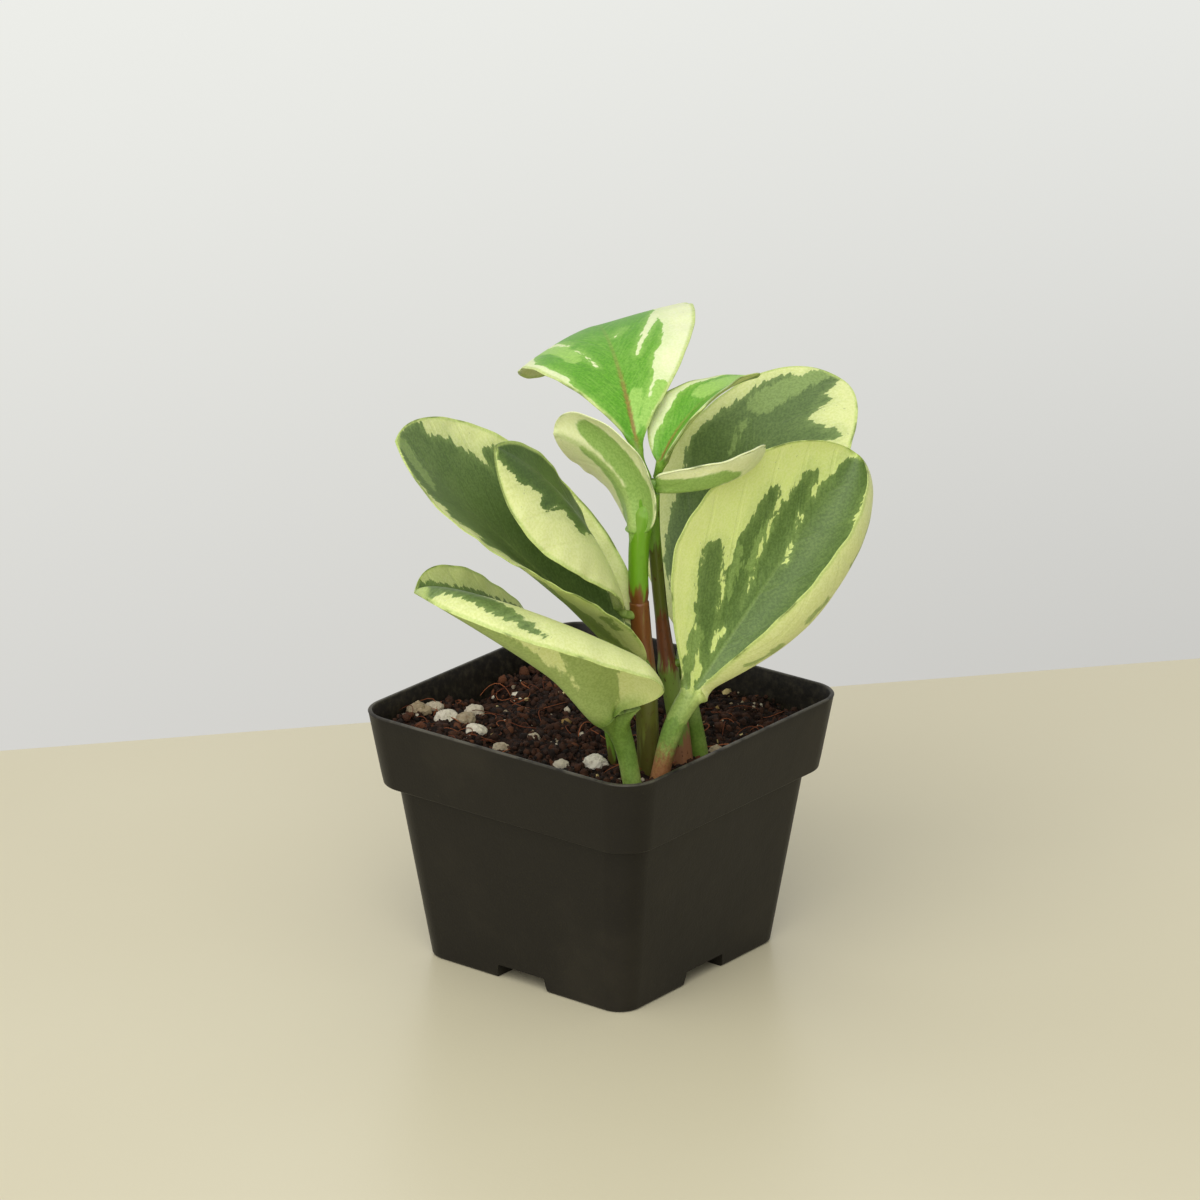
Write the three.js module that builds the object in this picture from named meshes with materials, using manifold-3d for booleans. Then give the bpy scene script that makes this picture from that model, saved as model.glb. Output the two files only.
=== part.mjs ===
// Potted peperomia: a small variegated plant in a square nursery pot.
// Millimetres, +Z up. The pot's sides run along X and Y, and the plant is modelled in a frame turned
// about the pot's axis: there x runs to the right of the plant's best side, y away from it and z up.

import * as THREE from 'three';
import { mergeVertices } from 'three/addons/utils/BufferGeometryUtils.js';
import Module from 'manifold-3d';

const wasm = await Module();
wasm.setup();

// ---------------------------------------------------------------- driving dimensions

const PLANT_TURN = 38.2; // degrees from the pot's X to the plant's x
const GAP = 0.3; // clearance between pieces that touch

const POT = {
  height: 75,
  top: 100, // outer width of the rim's top edge
  topCorner: 11,
  collar: 22, // height of the rim band
  collarFoot: 93.4, // outer width of the band's lower edge
  collarCorner: 9.6,
  body: 87.2, // outer width of the wall just under the band
  bodyCorner: 9.5,
  base: 73,
  baseCorner: 7,
  footBevel: 1.2,
  wall: 1.3,
  floor: 1.5,
  channelWidth: 16.4, // raised cross under the floor, which leaves four corner feet
  channelFlare: 1,
  channelHeight: 4.3,
  holeRadius: 4,
  holeRing: 21, // distance of the drain holes from the axis
  cornerSteps: 5,
};

const SOIL = {
  level: 66.4,
  leftRise: 2.6, // the mix lies higher on the plant's left
  hollow: { x: -37, y: 27, radius: 13, depth: 5 },
  lumps: 0.9,
  rings: 9,
  edge: 2.2, // the surface sinks by this much at the wall
};

const GRAINS = {
  seed: 7,
  scattered: 22,
  // chosen by eye: x, y and mean radius of the large grains, in the plant's frame
  large: [
    [-52, 5, 3.1], [-47.5, 9, 2.4], [-44, 3, 3.4], [-38.5, 0, 2.5], [-36, 6, 2.6], [-35.5, -8.5, 2.6],
    [-28, -19, 2.2], [-11.5, -29, 2.2], [-2, -30.5, 3.1], [-19, -12, 1.6], [-7, 21, 2.1], [32, -17, 2.2],
    [19, -16.5, 1.6], [-24, 27, 1.8],
  ],
};

// Stems: points of the centre line and the radius at each.
const FRONT_STEM = {
  points: [[13.3, -32, 59], [12.6, -32.8, 80], [12.1, -33, 92], [11, -33, 105], [10.2, -33, 117]],
  radii: [3.3, 3.1, 3.2, 2.8, 2.7],
  steps: 10,
};
const BACK_STEM = {
  points: [[23.2, -26.5, 59], [21, -25, 79], [18.4, -25, 94], [16.6, -25.2, 108], [14.2, -25.6, 134],
    [13.6, -26, 149.5]],
  radii: [3, 2.9, 2.5, 1.9, 1.8, 2.2],
  steps: 14,
  swelling: { at: 0.4, spread: 0.035, height: 0.5 }, // a joint, with the bud beside it
};
const BUD = {
  points: [[19.6, -25.6, 95], [22, -26, 96.5], [24, -26.2, 98.6]],
  radii: [1.3, 1, 0.45],
  steps: 4,
};
const YOUNG_STALK = {
  points: [[10.2, -33, 117.4], [9.9, -33, 127], [10.3, -33, 135], [11.6, -33, 142], [13.8, -33.2, 148.4]],
  radii: [2.7, 2.35, 2.6, 3.1, 1.5],
  steps: 8,
};
const SHOOT = {
  points: [[3.4, -26, 60], [2.6, -27.5, 70], [0.6, -28.5, 80]],
  radii: [1.2, 1.1, 0.5],
  steps: 5,
};

// Leaves, in the plant's frame. The midrib starts at base and heads along an azimuth (0 right, 90 away)
// and a rise above the level, which change by turn and droop on the way to the tip. roll tilts the blade
// about its midrib. Each half, left and right of the midrib, has a width, a fold up from the midrib and a
// further curl towards its edge, each at the base and at the tip. widest, open and blunt set the outline.
// A stalk leaves the mix upright unless it leans. Where it spreads, it widens into the blade's own section
// like a funnel.
const LEAVES = {
  leaf_crown: {
    stalk: { from: [12.6, -26.6, 149.8], radius: 1.1, throat: 1.7 }, base: [9.7, -25.7, 157.4],
    azimuth: 106.4, turn: -13.4, rise: 54.5, droop: -98, length: 86, roll: 7.2, twist: 6,
    width: [26.8, 26.6], widest: 0.65, open: 1.26, blunt: 0.72,
    fold: [[20, -12], [2.4, 4.8]], curl: [[8, -50], [-10, -2]], colour: 0x7fb544,
  },
  leaf_crown_side: {
    stalk: { from: [15, -25.4, 149.8], radius: 1.1, throat: 1.4 }, base: [16, -26.4, 153.6],
    azimuth: 42, turn: -11, rise: 62, droop: -63, length: 40, roll: 8, twist: 6,
    width: [13, 13], widest: 0.47, open: 0.86, blunt: 0.5,
    fold: [[20, 2], [21, 8]], curl: [[20, 5], [21, 12]], colour: 0x4d8f2a,
  },
  leaf_young_left: {
    stalk: { from: [10, -33, 124], radius: 2, throat: 2.3 }, base: [9.5, -33.5, 136.8],
    azimuth: 178.5, turn: -23, rise: 88, droop: -80, length: 38.4, roll: -55, twist: -11.3,
    width: [14.1, 15.8], widest: 0.52, open: 0.42, openRight: 0.27, blunt: 0.45,
    fold: [[28.8, 38.3], [11, 3.8]], curl: [[-82, -50.6], [50.8, 13.6]], colour: 0xa9c46a,
  },
  leaf_young_right: {
    stalk: { from: [11, -33, 134], radius: 2, throat: 1.4 }, base: [15.2, -35.8, 150.7],
    azimuth: -20.6, turn: 79, rise: -2.5, droop: 28, length: 33.3, roll: -21.6, twist: -9,
    width: [12.7, 11.1], widest: 0.55, open: 0.26, blunt: 0.42,
    fold: [[98, 87], [73, 78.6]], curl: [[43.5, 33], [10, 23.3]], colour: 0xa5b96c,
  },
  leaf_back_right: {
    stalk: { from: [27.8, -20.5, 58], radius: 2.5, throat: 2.8 }, base: [24, -18, 99.6],
    azimuth: 63, turn: -23, rise: 68, droop: -50, length: 92.5, roll: 2, twist: -8,
    width: [29, 29.5], widest: 0.41, open: 0.93, blunt: 0.48,
    fold: [[-14, 5], [-10, 0]], curl: [[-12, 8], [-8, 4]], colour: 0x4a6a40,
  },
  leaf_front_right: {
    stalk: { from: [13.6, -39, 58], radius: 2.6, throat: 3.2, leans: true }, base: [23.7, -36, 88.6],
    azimuth: 34, turn: -2, rise: 48.5, droop: -1, length: 83, roll: -58, twist: -13,
    width: [37, 40], widest: 0.49, open: 1.16, blunt: 0.59,
    fold: [[22, 14], [8, 12]], curl: [[22, 26], [157, 136]], colour: 0x6f9150,
  },
  leaf_left: {
    stalk: { from: [12.4, -33.4, 94], radius: 1.8, throat: 2.2 }, base: [11, -35, 98.9],
    azimuth: 197.5, turn: 13, rise: 44.5, droop: 2.5, length: 103.5, roll: 26, twist: 10,
    width: [28, 28], widest: 0.56, open: 0.7, blunt: 0.61,
    fold: [[40, 3], [33, 6]], curl: [[36, 7], [39, 7]], colour: 0x48643c,
  },
  leaf_upper_left: {
    stalk: { from: [10.4, -33, 112], radius: 1.2, throat: 1.3 }, base: [5.2, -36, 115.2],
    azimuth: 221, turn: 3, rise: 72, droop: -42, length: 75, roll: 7, twist: 25,
    width: [23.6, 8.5], widest: 0.56, open: 0.82, blunt: 0.72,
    fold: [[-5, -21], [6, 29]], curl: [[-25, -47], [4, 20]], colour: 0x9bbb62,
  },
  leaf_low_left: {
    stalk: { from: [10.6, -45, 58], radius: 2.6, throat: 3.6, leans: true, spreads: true },
    base: [0.7, -45, 88.2],
    azimuth: 218, turn: -29, rise: 42, droop: -9, length: 70.7, roll: -8, twist: -6.2,
    width: [41, 28.3], widest: 0.3, open: 0.53, openRight: 0.75, blunt: 0.42,
    fold: [[82.7, 88.4], [26, 36]], curl: [[-115, -169], [12, 16]], colour: 0xb4cc70,
  },
};

const BLADE = {
  half: 0.6, // half of the blade's thickness
  rib: 0.011, // how far the midrib stands out under the blade at its base, as a share of the length
  ribWidth: 1.8,
  crease: 0.12, // share of a half over which the fold is eased in
  rings: 13,
  sides: 16,
  stalkRings: 6,
};

// ---------------------------------------------------------------- shapes

const radians = THREE.MathUtils.degToRad;
const TO_PLANT = new THREE.Matrix4().makeRotationZ(-radians(PLANT_TURN));

function smooth(from, to, value) {
  return THREE.MathUtils.smoothstep(value, from, to);
}

/** A closed body through rings of points, each ring counter-clockwise about the way the rings run. */
function loft(rings, mirrored = false) {
  const count = rings[0].length;
  const positions = [];
  const index = [];
  for (const ring of rings) {
    for (const point of ring) positions.push(point.x, point.y, point.z);
  }
  for (let i = 0; i < rings.length - 1; i += 1) {
    for (let j = 0; j < count; j += 1) {
      const a = i * count + j;
      const b = i * count + ((j + 1) % count);
      const c = b + count;
      const d = a + count;
      if (mirrored && j >= count / 2) index.push(a, b, c, a, c, d);
      else index.push(a, b, d, b, c, d);
    }
  }
  for (const last of [false, true]) {
    const ring = last ? rings[rings.length - 1] : rings[0];
    const start = last ? (rings.length - 1) * count : 0;
    const centre = new THREE.Vector3();
    for (const point of ring) centre.addScaledVector(point, 1 / count);
    positions.push(centre.x, centre.y, centre.z);
    const hub = positions.length / 3 - 1;
    for (let j = 0; j < count; j += 1) {
      const a = start + j;
      const b = start + ((j + 1) % count);
      if (last) index.push(a, b, hub);
      else index.push(b, a, hub);
    }
  }
  const geometry = new THREE.BufferGeometry();
  geometry.setAttribute('position', new THREE.Float32BufferAttribute(positions, 3));
  geometry.setIndex(index);
  return geometry;
}

function toSolid(geometry) {
  const bare = geometry.clone();
  bare.deleteAttribute('normal');
  bare.deleteAttribute('uv');
  const merged = mergeVertices(bare, 1e-4);
  return new wasm.Manifold(new wasm.Mesh({
    numProp: 3,
    vertProperties: new Float32Array(merged.attributes.position.array),
    triVerts: new Uint32Array(merged.index.array),
  }));
}

/** The largest piece of a solid, as a geometry. */
function toGeometry(solid) {
  const pieces = solid.decompose();
  pieces.sort((a, b) => b.volume() - a.volume());
  const mesh = pieces[0].getMesh();
  const geometry = new THREE.BufferGeometry();
  geometry.setAttribute('position', new THREE.BufferAttribute(new Float32Array(mesh.vertProperties), 3));
  geometry.setIndex(new THREE.BufferAttribute(new Uint32Array(mesh.triVerts), 1));
  return geometry;
}

/** A ring of points round a square with rounded corners, counter-clockwise seen from above. */
function roundedSquare(width, corner, z, steps = POT.cornerSteps) {
  const reach = width / 2 - corner;
  const ring = [];
  for (let side = 0; side < 4; side += 1) {
    const middle = Math.PI / 4 + (side * Math.PI) / 2;
    const cx = Math.sign(Math.cos(middle)) * reach;
    const cy = Math.sign(Math.sin(middle)) * reach;
    for (let step = 0; step <= steps; step += 1) {
      const angle = (side * Math.PI) / 2 + (step / steps) * (Math.PI / 2);
      ring.push(new THREE.Vector3(cx + corner * Math.cos(angle), cy + corner * Math.sin(angle), z));
    }
  }
  return ring;
}

/** A round tube along a smooth line through points, with a radius at each point. */
function tube({ points, radii, steps, swelling = null }, { grow = 0, sides = 12 } = {}) {
  const line = new THREE.CatmullRomCurve3(points.map((point) => new THREE.Vector3(...point)));
  const rings = [];
  for (let i = 0; i <= steps; i += 1) {
    const share = i / steps;
    const spot = share * (radii.length - 1);
    const low = Math.min(Math.floor(spot), radii.length - 2);
    let radius = THREE.MathUtils.lerp(radii[low], radii[low + 1], spot - low) + grow;
    if (swelling) radius += swelling.height * Math.exp(-(((share - swelling.at) / swelling.spread) ** 2));
    rings.push(circle(line.getPoint(share), line.getTangent(share), radius, sides));
  }
  if (grow > 0) lengthen(rings, grow);
  return loft(rings);
}

/** Draws both ends of a tube outwards, so that it clears the ends of the piece that it cuts room for. */
function lengthen(rings, by) {
  for (const [ring, next] of [[rings[0], rings[1]], [rings[rings.length - 1], rings[rings.length - 2]]]) {
    const along = ring[0].clone().sub(next[0]).normalize();
    ring.forEach((point) => point.addScaledVector(along, by));
  }
}

/** A round ring about a direction. across is where its first point lies. */
function circle(centre, along, radius, sides, across = new THREE.Vector3(1, 0, 0)) {
  const first = across.clone().addScaledVector(along, -across.dot(along)).normalize();
  const second = along.clone().cross(first);
  const ring = [];
  for (let j = 0; j < sides; j += 1) {
    const angle = (j / sides) * 2 * Math.PI;
    ring.push(centre.clone()
      .addScaledVector(first, radius * Math.cos(angle))
      .addScaledVector(second, radius * Math.sin(angle)));
  }
  return ring;
}

// ---------------------------------------------------------------- leaves

/** Direction, upward normal and left-hand way of a leaf's midrib at a share s of its length. */
function leafFrame(leaf, s) {
  const a = radians(leaf.azimuth + leaf.turn * s);
  const e = radians(leaf.rise + leaf.droop * s);
  const along = new THREE.Vector3(Math.cos(e) * Math.cos(a), Math.cos(e) * Math.sin(a), Math.sin(e));
  const normal = new THREE.Vector3(-Math.sin(e) * Math.cos(a), -Math.sin(e) * Math.sin(a), Math.cos(e));
  normal.applyAxisAngle(along, -radians(leaf.roll + leaf.twist * s));
  return { along, normal, left: normal.clone().cross(along) };
}

/** The midrib's points at a rising list of shares, by adding up short steps along its direction. */
function midrib(leaf, shares) {
  const points = [];
  const point = new THREE.Vector3(...leaf.base);
  let done = 0;
  for (const share of shares) {
    const steps = Math.max(1, Math.ceil((share - done) * 100));
    const step = (share - done) / steps;
    for (let k = 0; k < steps; k += 1) {
      point.addScaledVector(leafFrame(leaf, done + (k + 0.5) * step).along, step * leaf.length);
    }
    done = share;
    points.push(point.clone());
  }
  return points;
}

/** Share of the full half-width at s: it opens from the base to the widest place, then rounds to the tip. */
function outline(leaf, s, side = 0) {
  const open = side === 1 && leaf.openRight ? leaf.openRight : leaf.open;
  if (s < leaf.widest) return (1 - (1 - s / leaf.widest) ** 2) ** open;
  return (1 - Math.abs(1 - (1 - s) / (1 - leaf.widest)) ** 2.2) ** leaf.blunt;
}

/** Sideways reach, rise and slope of one half at a share t of its width, by midpoint steps. */
function bend(fold, curl, t) {
  const steps = 16;
  const slope = (u) => fold * (1 - Math.exp(-((u / BLADE.crease) ** 2))) + curl * u;
  let reach = 0;
  let lift = 0;
  for (let k = 0; k < steps; k += 1) {
    const angle = slope(((k + 0.5) / steps) * t);
    reach += (Math.cos(angle) * t) / steps;
    lift += (Math.sin(angle) * t) / steps;
  }
  return { reach, lift, angle: slope(t) };
}

/** A section of the blade: a thin lens bent along the folded and curled halves, with a rib below. */
function bladeRing(leaf, s, centre, sides) {
  const frame = leafFrame(leaf, s);
  const { throat } = leaf.stalk;
  const share = outline(leaf, s);
  const flat = Math.max(smooth(0.4, 2, (Math.max(...leaf.width) * share) / throat), smooth(0.2, 0.4, s));
  const half = BLADE.half * (1 - 0.3 * s);
  const neck = (throat - half) * (1 - smooth(0, 0.35, s));
  const rib = neck + BLADE.rib * leaf.length * (1 - s) ** 1.2;
  const ribWidth = THREE.MathUtils.lerp(throat, BLADE.ribWidth, smooth(0, 0.35, s));
  const ring = [];
  for (let j = 0; j < sides; j += 1) {
    const angle = (j / sides) * 2 * Math.PI;
    const across = Math.cos(angle);
    const t = Math.sign(across) * Math.abs(across) ** (1 + 0.5 * flat);
    const k = Math.sin(angle);
    const side = t >= 0 ? 0 : 1;
    const spread = leaf.width[side] * outline(leaf, s, side);
    const width = Math.hypot(spread, throat * (1 - smooth(0, 0.25, s)), 0.3);
    const fold = radians(THREE.MathUtils.lerp(...leaf.fold[side], s)) * flat;
    const curl = radians(THREE.MathUtils.lerp(...leaf.curl[side], s)) * flat;
    const { reach, lift, angle: slope } = bend(fold, curl, Math.abs(t));
    const below = k < -0.01 ? rib * Math.exp(-(((t * width) / ribWidth) ** 2)) : 0;
    const lens = half * Math.sign(k) * Math.abs(k) ** 0.5 - below;
    const shell = THREE.MathUtils.lerp(throat * k, lens, flat);
    ring.push(centre.clone()
      .addScaledVector(frame.left, Math.sign(t) * (width * reach) - (side ? -1 : 1) * shell * Math.sin(slope))
      .addScaledVector(frame.normal, width * lift + shell * Math.cos(slope)));
  }
  return ring;
}

/** The stalk's centre line: from where it leaves the stem or the mix to the base of the blade. */
function stalkLine(leaf) {
  const from = new THREE.Vector3(...leaf.stalk.from);
  const to = new THREE.Vector3(...leaf.base);
  const pull = from.distanceTo(to) * 0.4;
  const upright = from.z < SOIL.level && !leaf.stalk.leans;
  const lead = upright ? new THREE.Vector3(0, 0, 1) : to.clone().sub(from).normalize();
  return new THREE.CubicBezierCurve3(
    from,
    from.clone().addScaledVector(lead, pull),
    to.clone().addScaledVector(leafFrame(leaf, 0).along, -pull),
    to,
  );
}

function stalkRings(leaf, { grow = 0, sides = BLADE.sides } = {}) {
  const { radius, throat, spreads = false } = leaf.stalk;
  const line = stalkLine(leaf);
  const { left } = leafFrame(leaf, 0);
  const spread = bladeRing(leaf, 0.02, new THREE.Vector3(), sides);
  const rings = [];
  for (let i = 0; i < BLADE.stalkRings; i += 1) {
    const share = 1 - (1 - i / BLADE.stalkRings) ** 1.5;
    const centre = line.getPoint(share);
    const ring = circle(
      centre,
      line.getTangent(share),
      THREE.MathUtils.lerp(radius, throat, share ** 3) + grow,
      sides,
      left,
    );
    const towards = spreads ? Math.max(0, 2 * share - 1) ** 4 : 0;
    rings.push(ring.map((point, j) => point.lerp(centre.clone().add(spread[j]), towards)));
  }
  if (grow > 0) lengthen(rings, grow);
  return rings;
}

/** A whole leaf, stalk and blade in one closed body. */
function leafGeometry(leaf, sides = BLADE.sides, count = BLADE.rings) {
  const shares = [];
  for (let i = 0; i <= count; i += 1) shares.push((1 - Math.cos((i / count) * Math.PI)) / 2);
  const centres = midrib(leaf, shares);
  const rings = stalkRings(leaf, { sides });
  shares.forEach((s, i) => {
    if (i > 0 || !leaf.stalk.spreads) rings.push(bladeRing(leaf, s, centres[i], sides));
  });
  return loft(rings, true);
}

// ---------------------------------------------------------------- pot

/** Outer width of the pot at a height: the wall below the band, or the band. */
function potWidth(z) {
  const band = POT.height - POT.collar;
  if (z < band) return THREE.MathUtils.mapLinear(z, POT.footBevel, band, POT.base, POT.body);
  return THREE.MathUtils.mapLinear(z, band, POT.height, POT.collarFoot, POT.top);
}

/** Two crossed bars along the bottom of the pot, wider at the foot by a flare. */
function cross(width, height, foot) {
  const shape = new THREE.Shape();
  shape.moveTo(-width / 2 - POT.channelFlare, foot);
  shape.lineTo(width / 2 + POT.channelFlare, foot);
  shape.lineTo(width / 2, height);
  shape.lineTo(-width / 2, height);
  shape.closePath();
  const bars = [0, 1].map((turn) => {
    const bar = new THREE.ExtrudeGeometry(shape, { depth: POT.top, bevelEnabled: false });
    bar.translate(0, 0, -POT.top / 2);
    bar.rotateX(Math.PI / 2);
    bar.rotateZ((turn * Math.PI) / 2);
    return toSolid(bar);
  });
  return bars[0].add(bars[1]);
}

/** The space inside the pot, above the raised cross, kept off its walls and floor by a clearance. */
function potCavity(clearance, top) {
  const step = POT.height - POT.collar;
  const levels = [POT.floor + clearance, step - 1.2, step + 1.6, top];
  const hollow = loft(levels.map((z) => {
    const inset = POT.wall + clearance;
    const corner = THREE.MathUtils.mapLinear(z, 0, POT.height, POT.baseCorner, POT.topCorner);
    return roundedSquare(potWidth(z) - 2 * inset, corner - inset, z);
  }));
  const rise = POT.floor + clearance;
  return toSolid(hollow).subtract(cross(POT.channelWidth + 2 * rise, POT.channelHeight + rise, 0));
}

function potShell() {
  const step = POT.height - POT.collar;
  const outer = loft([
    roundedSquare(POT.base - 2 * POT.footBevel, POT.baseCorner - POT.footBevel, 0),
    roundedSquare(POT.base, POT.baseCorner, POT.footBevel),
    roundedSquare(POT.body, POT.bodyCorner, step - 0.4),
    roundedSquare(POT.collarFoot - 0.8, POT.collarCorner - 0.4, step),
    roundedSquare(POT.collarFoot, POT.collarCorner, step + 0.6),
    roundedSquare(POT.top, POT.topCorner, POT.height - 0.5),
    roundedSquare(POT.top - 0.6, POT.topCorner - 0.3, POT.height),
  ]);
  let shell = toSolid(outer)
    .subtract(potCavity(0, POT.height + 1))
    .subtract(cross(POT.channelWidth, POT.channelHeight, -0.01));
  for (const [x, y] of [[0, 0], [1, 0], [-1, 0], [0, 1], [0, -1]]) {
    const hole = new THREE.CylinderGeometry(POT.holeRadius, POT.holeRadius, 4 * POT.floor, 16);
    hole.rotateX(Math.PI / 2);
    hole.translate(x * POT.holeRing, y * POT.holeRing, POT.channelHeight);
    shell = shell.subtract(toSolid(hole));
  }
  return toGeometry(shell);
}

// ---------------------------------------------------------------- soil

/** Height of the mix at x, y in the plant's frame, with its hollow and slow lumps. */
function soilHeight(x, y) {
  const { hollow } = SOIL;
  const away = Math.hypot(x - hollow.x, y - hollow.y) / hollow.radius;
  const lumps = Math.sin(0.21 * x + 1.3) * Math.cos(0.17 * y - 0.4) + 0.6 * Math.sin(0.43 * x - 0.31 * y);
  return SOIL.level
    + SOIL.leftRise * smooth(0, 50, -x)
    - hollow.depth * Math.exp(-away * away)
    + SOIL.lumps * lumps;
}

/** The mix before the pot's walls trim it: a block under the uneven surface, wider than the pot. */
function soilBlock() {
  const edge = roundedSquare(POT.top, POT.topCorner, 0, 7).map((point) => point.applyMatrix4(TO_PLANT));
  const rings = [edge];
  for (let i = 0; i < SOIL.rings; i += 1) {
    const share = 1 - i / SOIL.rings;
    rings.push(edge.map((point) => {
      const x = point.x * share;
      const y = point.y * share;
      return new THREE.Vector3(x, y, soilHeight(x, y) - SOIL.edge * smooth(0.85, 1, share));
    }));
  }
  return toSolid(loft(rings));
}

/** Repeatable random numbers from 0 to 1. */
function seeded(seed) {
  let state = seed;
  return () => {
    state = (state * 16807) % 2147483647;
    return state / 2147483647;
  };
}

/** Grains of perlite and pumice that lie half sunk in the mix. */
function grains() {
  const random = seeded(GRAINS.seed);
  const spots = [...GRAINS.large];
  for (let i = 0; i < GRAINS.scattered; i += 1) {
    const distance = 46 * Math.sqrt(random());
    const angle = 2 * Math.PI * random();
    spots.push([distance * Math.cos(angle), distance * Math.sin(angle), 0.9 + 0.7 * random()]);
  }
  return spots.map(([x, y, radius]) => {
    const grain = new THREE.IcosahedronGeometry(radius, 0);
    grain.scale(1 + 0.3 * random(), 1 - 0.2 * random(), 0.85);
    grain.rotateX(2 * Math.PI * random());
    grain.rotateZ(2 * Math.PI * random());
    grain.translate(x, y, soilHeight(x, y) + radius * 0.15);
    return toSolid(grain);
  });
}

// ---------------------------------------------------------------- the plant in its pot

const root = new THREE.Group();
const plant = new THREE.Group();
plant.rotation.z = radians(PLANT_TURN);
root.add(plant);

function add(parent, name, geometry, colour, roughness = 0.5) {
  const material = new THREE.MeshStandardMaterial({ color: colour, roughness, metalness: 0 });
  const mesh = new THREE.Mesh(geometry, material);
  mesh.name = name;
  parent.add(mesh);
}

add(root, 'pot', potShell(), 0x2d2920, 0.6);

const inSoil = Object.values(LEAVES).filter((leaf) => leaf.stalk.from[2] < SOIL.level);
const holes = [FRONT_STEM, BACK_STEM, SHOOT].map((stem) => tube(stem, { grow: GAP }));
for (const leaf of inSoil) holes.push(loft(stalkRings(leaf, { grow: GAP })));

let soil = soilBlock();
for (const grain of grains()) soil = soil.add(grain);
soil = soil.intersect(toSolid(toGeometry(potCavity(GAP, POT.height)).applyMatrix4(TO_PLANT)));
for (const hole of holes) soil = soil.subtract(toSolid(hole));
add(plant, 'soil', toGeometry(soil), 0x2b1d14, 0.95);

add(plant, 'stem_front', tube(FRONT_STEM), 0x6b6a2f);
const backStem = toSolid(tube(BACK_STEM)).add(toSolid(tube(BUD, { sides: 8 })));
add(plant, 'stem_back', toGeometry(backStem), 0x64702f);
add(plant, 'shoot', tube(SHOOT), 0x77803a);

const nearStems = [FRONT_STEM, BACK_STEM, YOUNG_STALK].map((stem) => toSolid(tube(stem, { grow: GAP })));
const youngNames = ['leaf_young_left', 'leaf_young_right'];
let young = toSolid(tube(YOUNG_STALK));
for (const name of youngNames) young = young.add(toSolid(leafGeometry(LEAVES[name], 14, 9)));
add(plant, 'young_leaves', toGeometry(young), LEAVES.leaf_young_left.colour);

for (const [name, leaf] of Object.entries(LEAVES)) {
  if (youngNames.includes(name)) continue;
  let body = toSolid(leafGeometry(leaf));
  for (const stem of nearStems) body = body.subtract(stem);
  add(plant, name, toGeometry(body), leaf.colour);
}

// The part stands on z = 0 with its origin under the middle of its bounding box.
const middle = new THREE.Box3().setFromObject(root, true).getCenter(new THREE.Vector3());
root.children.forEach((child) => {
  child.position.x -= middle.x;
  child.position.y -= middle.y;
});

export default root;
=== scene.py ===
"""Potted peperomia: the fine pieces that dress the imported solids, their finishes, the light and the camera.

Lengths are millimetres until a mesh is made. The plant is drawn in its own frame, where x runs to the right of
its best side, y away from it and z up; Place turns that frame about the pot's axis into the part's frame.
"""
import logging
import math
from dataclasses import dataclass, field
from enum import Enum

import bpy
import numpy as np
from mathutils import Matrix, Vector


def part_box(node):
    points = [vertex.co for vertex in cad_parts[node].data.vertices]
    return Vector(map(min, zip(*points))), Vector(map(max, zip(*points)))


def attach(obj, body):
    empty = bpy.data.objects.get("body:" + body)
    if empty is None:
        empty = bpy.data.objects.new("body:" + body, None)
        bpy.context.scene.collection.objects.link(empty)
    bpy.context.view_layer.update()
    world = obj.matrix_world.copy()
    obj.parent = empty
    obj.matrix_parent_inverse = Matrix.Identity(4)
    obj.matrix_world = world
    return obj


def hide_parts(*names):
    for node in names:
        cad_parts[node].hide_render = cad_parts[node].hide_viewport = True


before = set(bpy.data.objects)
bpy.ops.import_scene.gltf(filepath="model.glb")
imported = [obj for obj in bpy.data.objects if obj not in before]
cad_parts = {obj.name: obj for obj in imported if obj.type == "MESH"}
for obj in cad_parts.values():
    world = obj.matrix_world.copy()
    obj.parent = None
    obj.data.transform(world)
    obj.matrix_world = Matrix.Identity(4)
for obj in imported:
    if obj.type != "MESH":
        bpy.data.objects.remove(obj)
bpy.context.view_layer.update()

log = logging.getLogger("potted_peperomia")

Colour = tuple[float, float, float]
Point = tuple[float, float, float]
Pair = tuple[float, float]
Array = np.ndarray

BODY = "root"
METRES = 0.001
HASH_STEPS = (73856093, 19349663, 83492791, 2654435)
HASH_FOLDS = (1274126177, 668265263)


# ---------------------------------------------------------------- numbers and curves

def smooth(low: float, high: float, value: Array) -> Array:
    """Smooth step: 3x^2 - 2x^3 of the share x of the way from low to high.

    Args:
        low: value at which the step starts.
        high: value at which it is complete.
        value: numbers to take the step of.

    Returns:
        The step, from 0 to 1.
    """
    share = np.clip((np.asarray(value, float) - low) / (high - low), 0.0, 1.0)
    return share * share * (3.0 - 2.0 * share)


def lerp(first: Array, last: Array, share: Array) -> Array:
    """Straight blend: first + (last - first) times share."""
    return first + (last - first) * share


def hashed(cells: Array, seed: int) -> Array:
    """Repeatable number from 0 to 1 for each whole-number cell, by multiplying, folding and keeping low bits.

    Args:
        cells: whole-number coordinates, the last axis of length 3.
        seed: which set of numbers to give.

    Returns:
        One number for each cell.
    """
    c = cells.astype(np.int64)
    n = (c[..., 0] * HASH_STEPS[0]) ^ (c[..., 1] * HASH_STEPS[1]) ^ (c[..., 2] * HASH_STEPS[2]) ^ (seed * HASH_STEPS[3])
    n = (n ^ (n >> 13)) * HASH_FOLDS[0] & 0x7FFFFFFF
    n = (n ^ (n >> 15)) * HASH_FOLDS[1] & 0x7FFFFFFF
    return ((n ^ (n >> 12)) & 0xFFFFFF) / float(0xFFFFFF)


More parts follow.
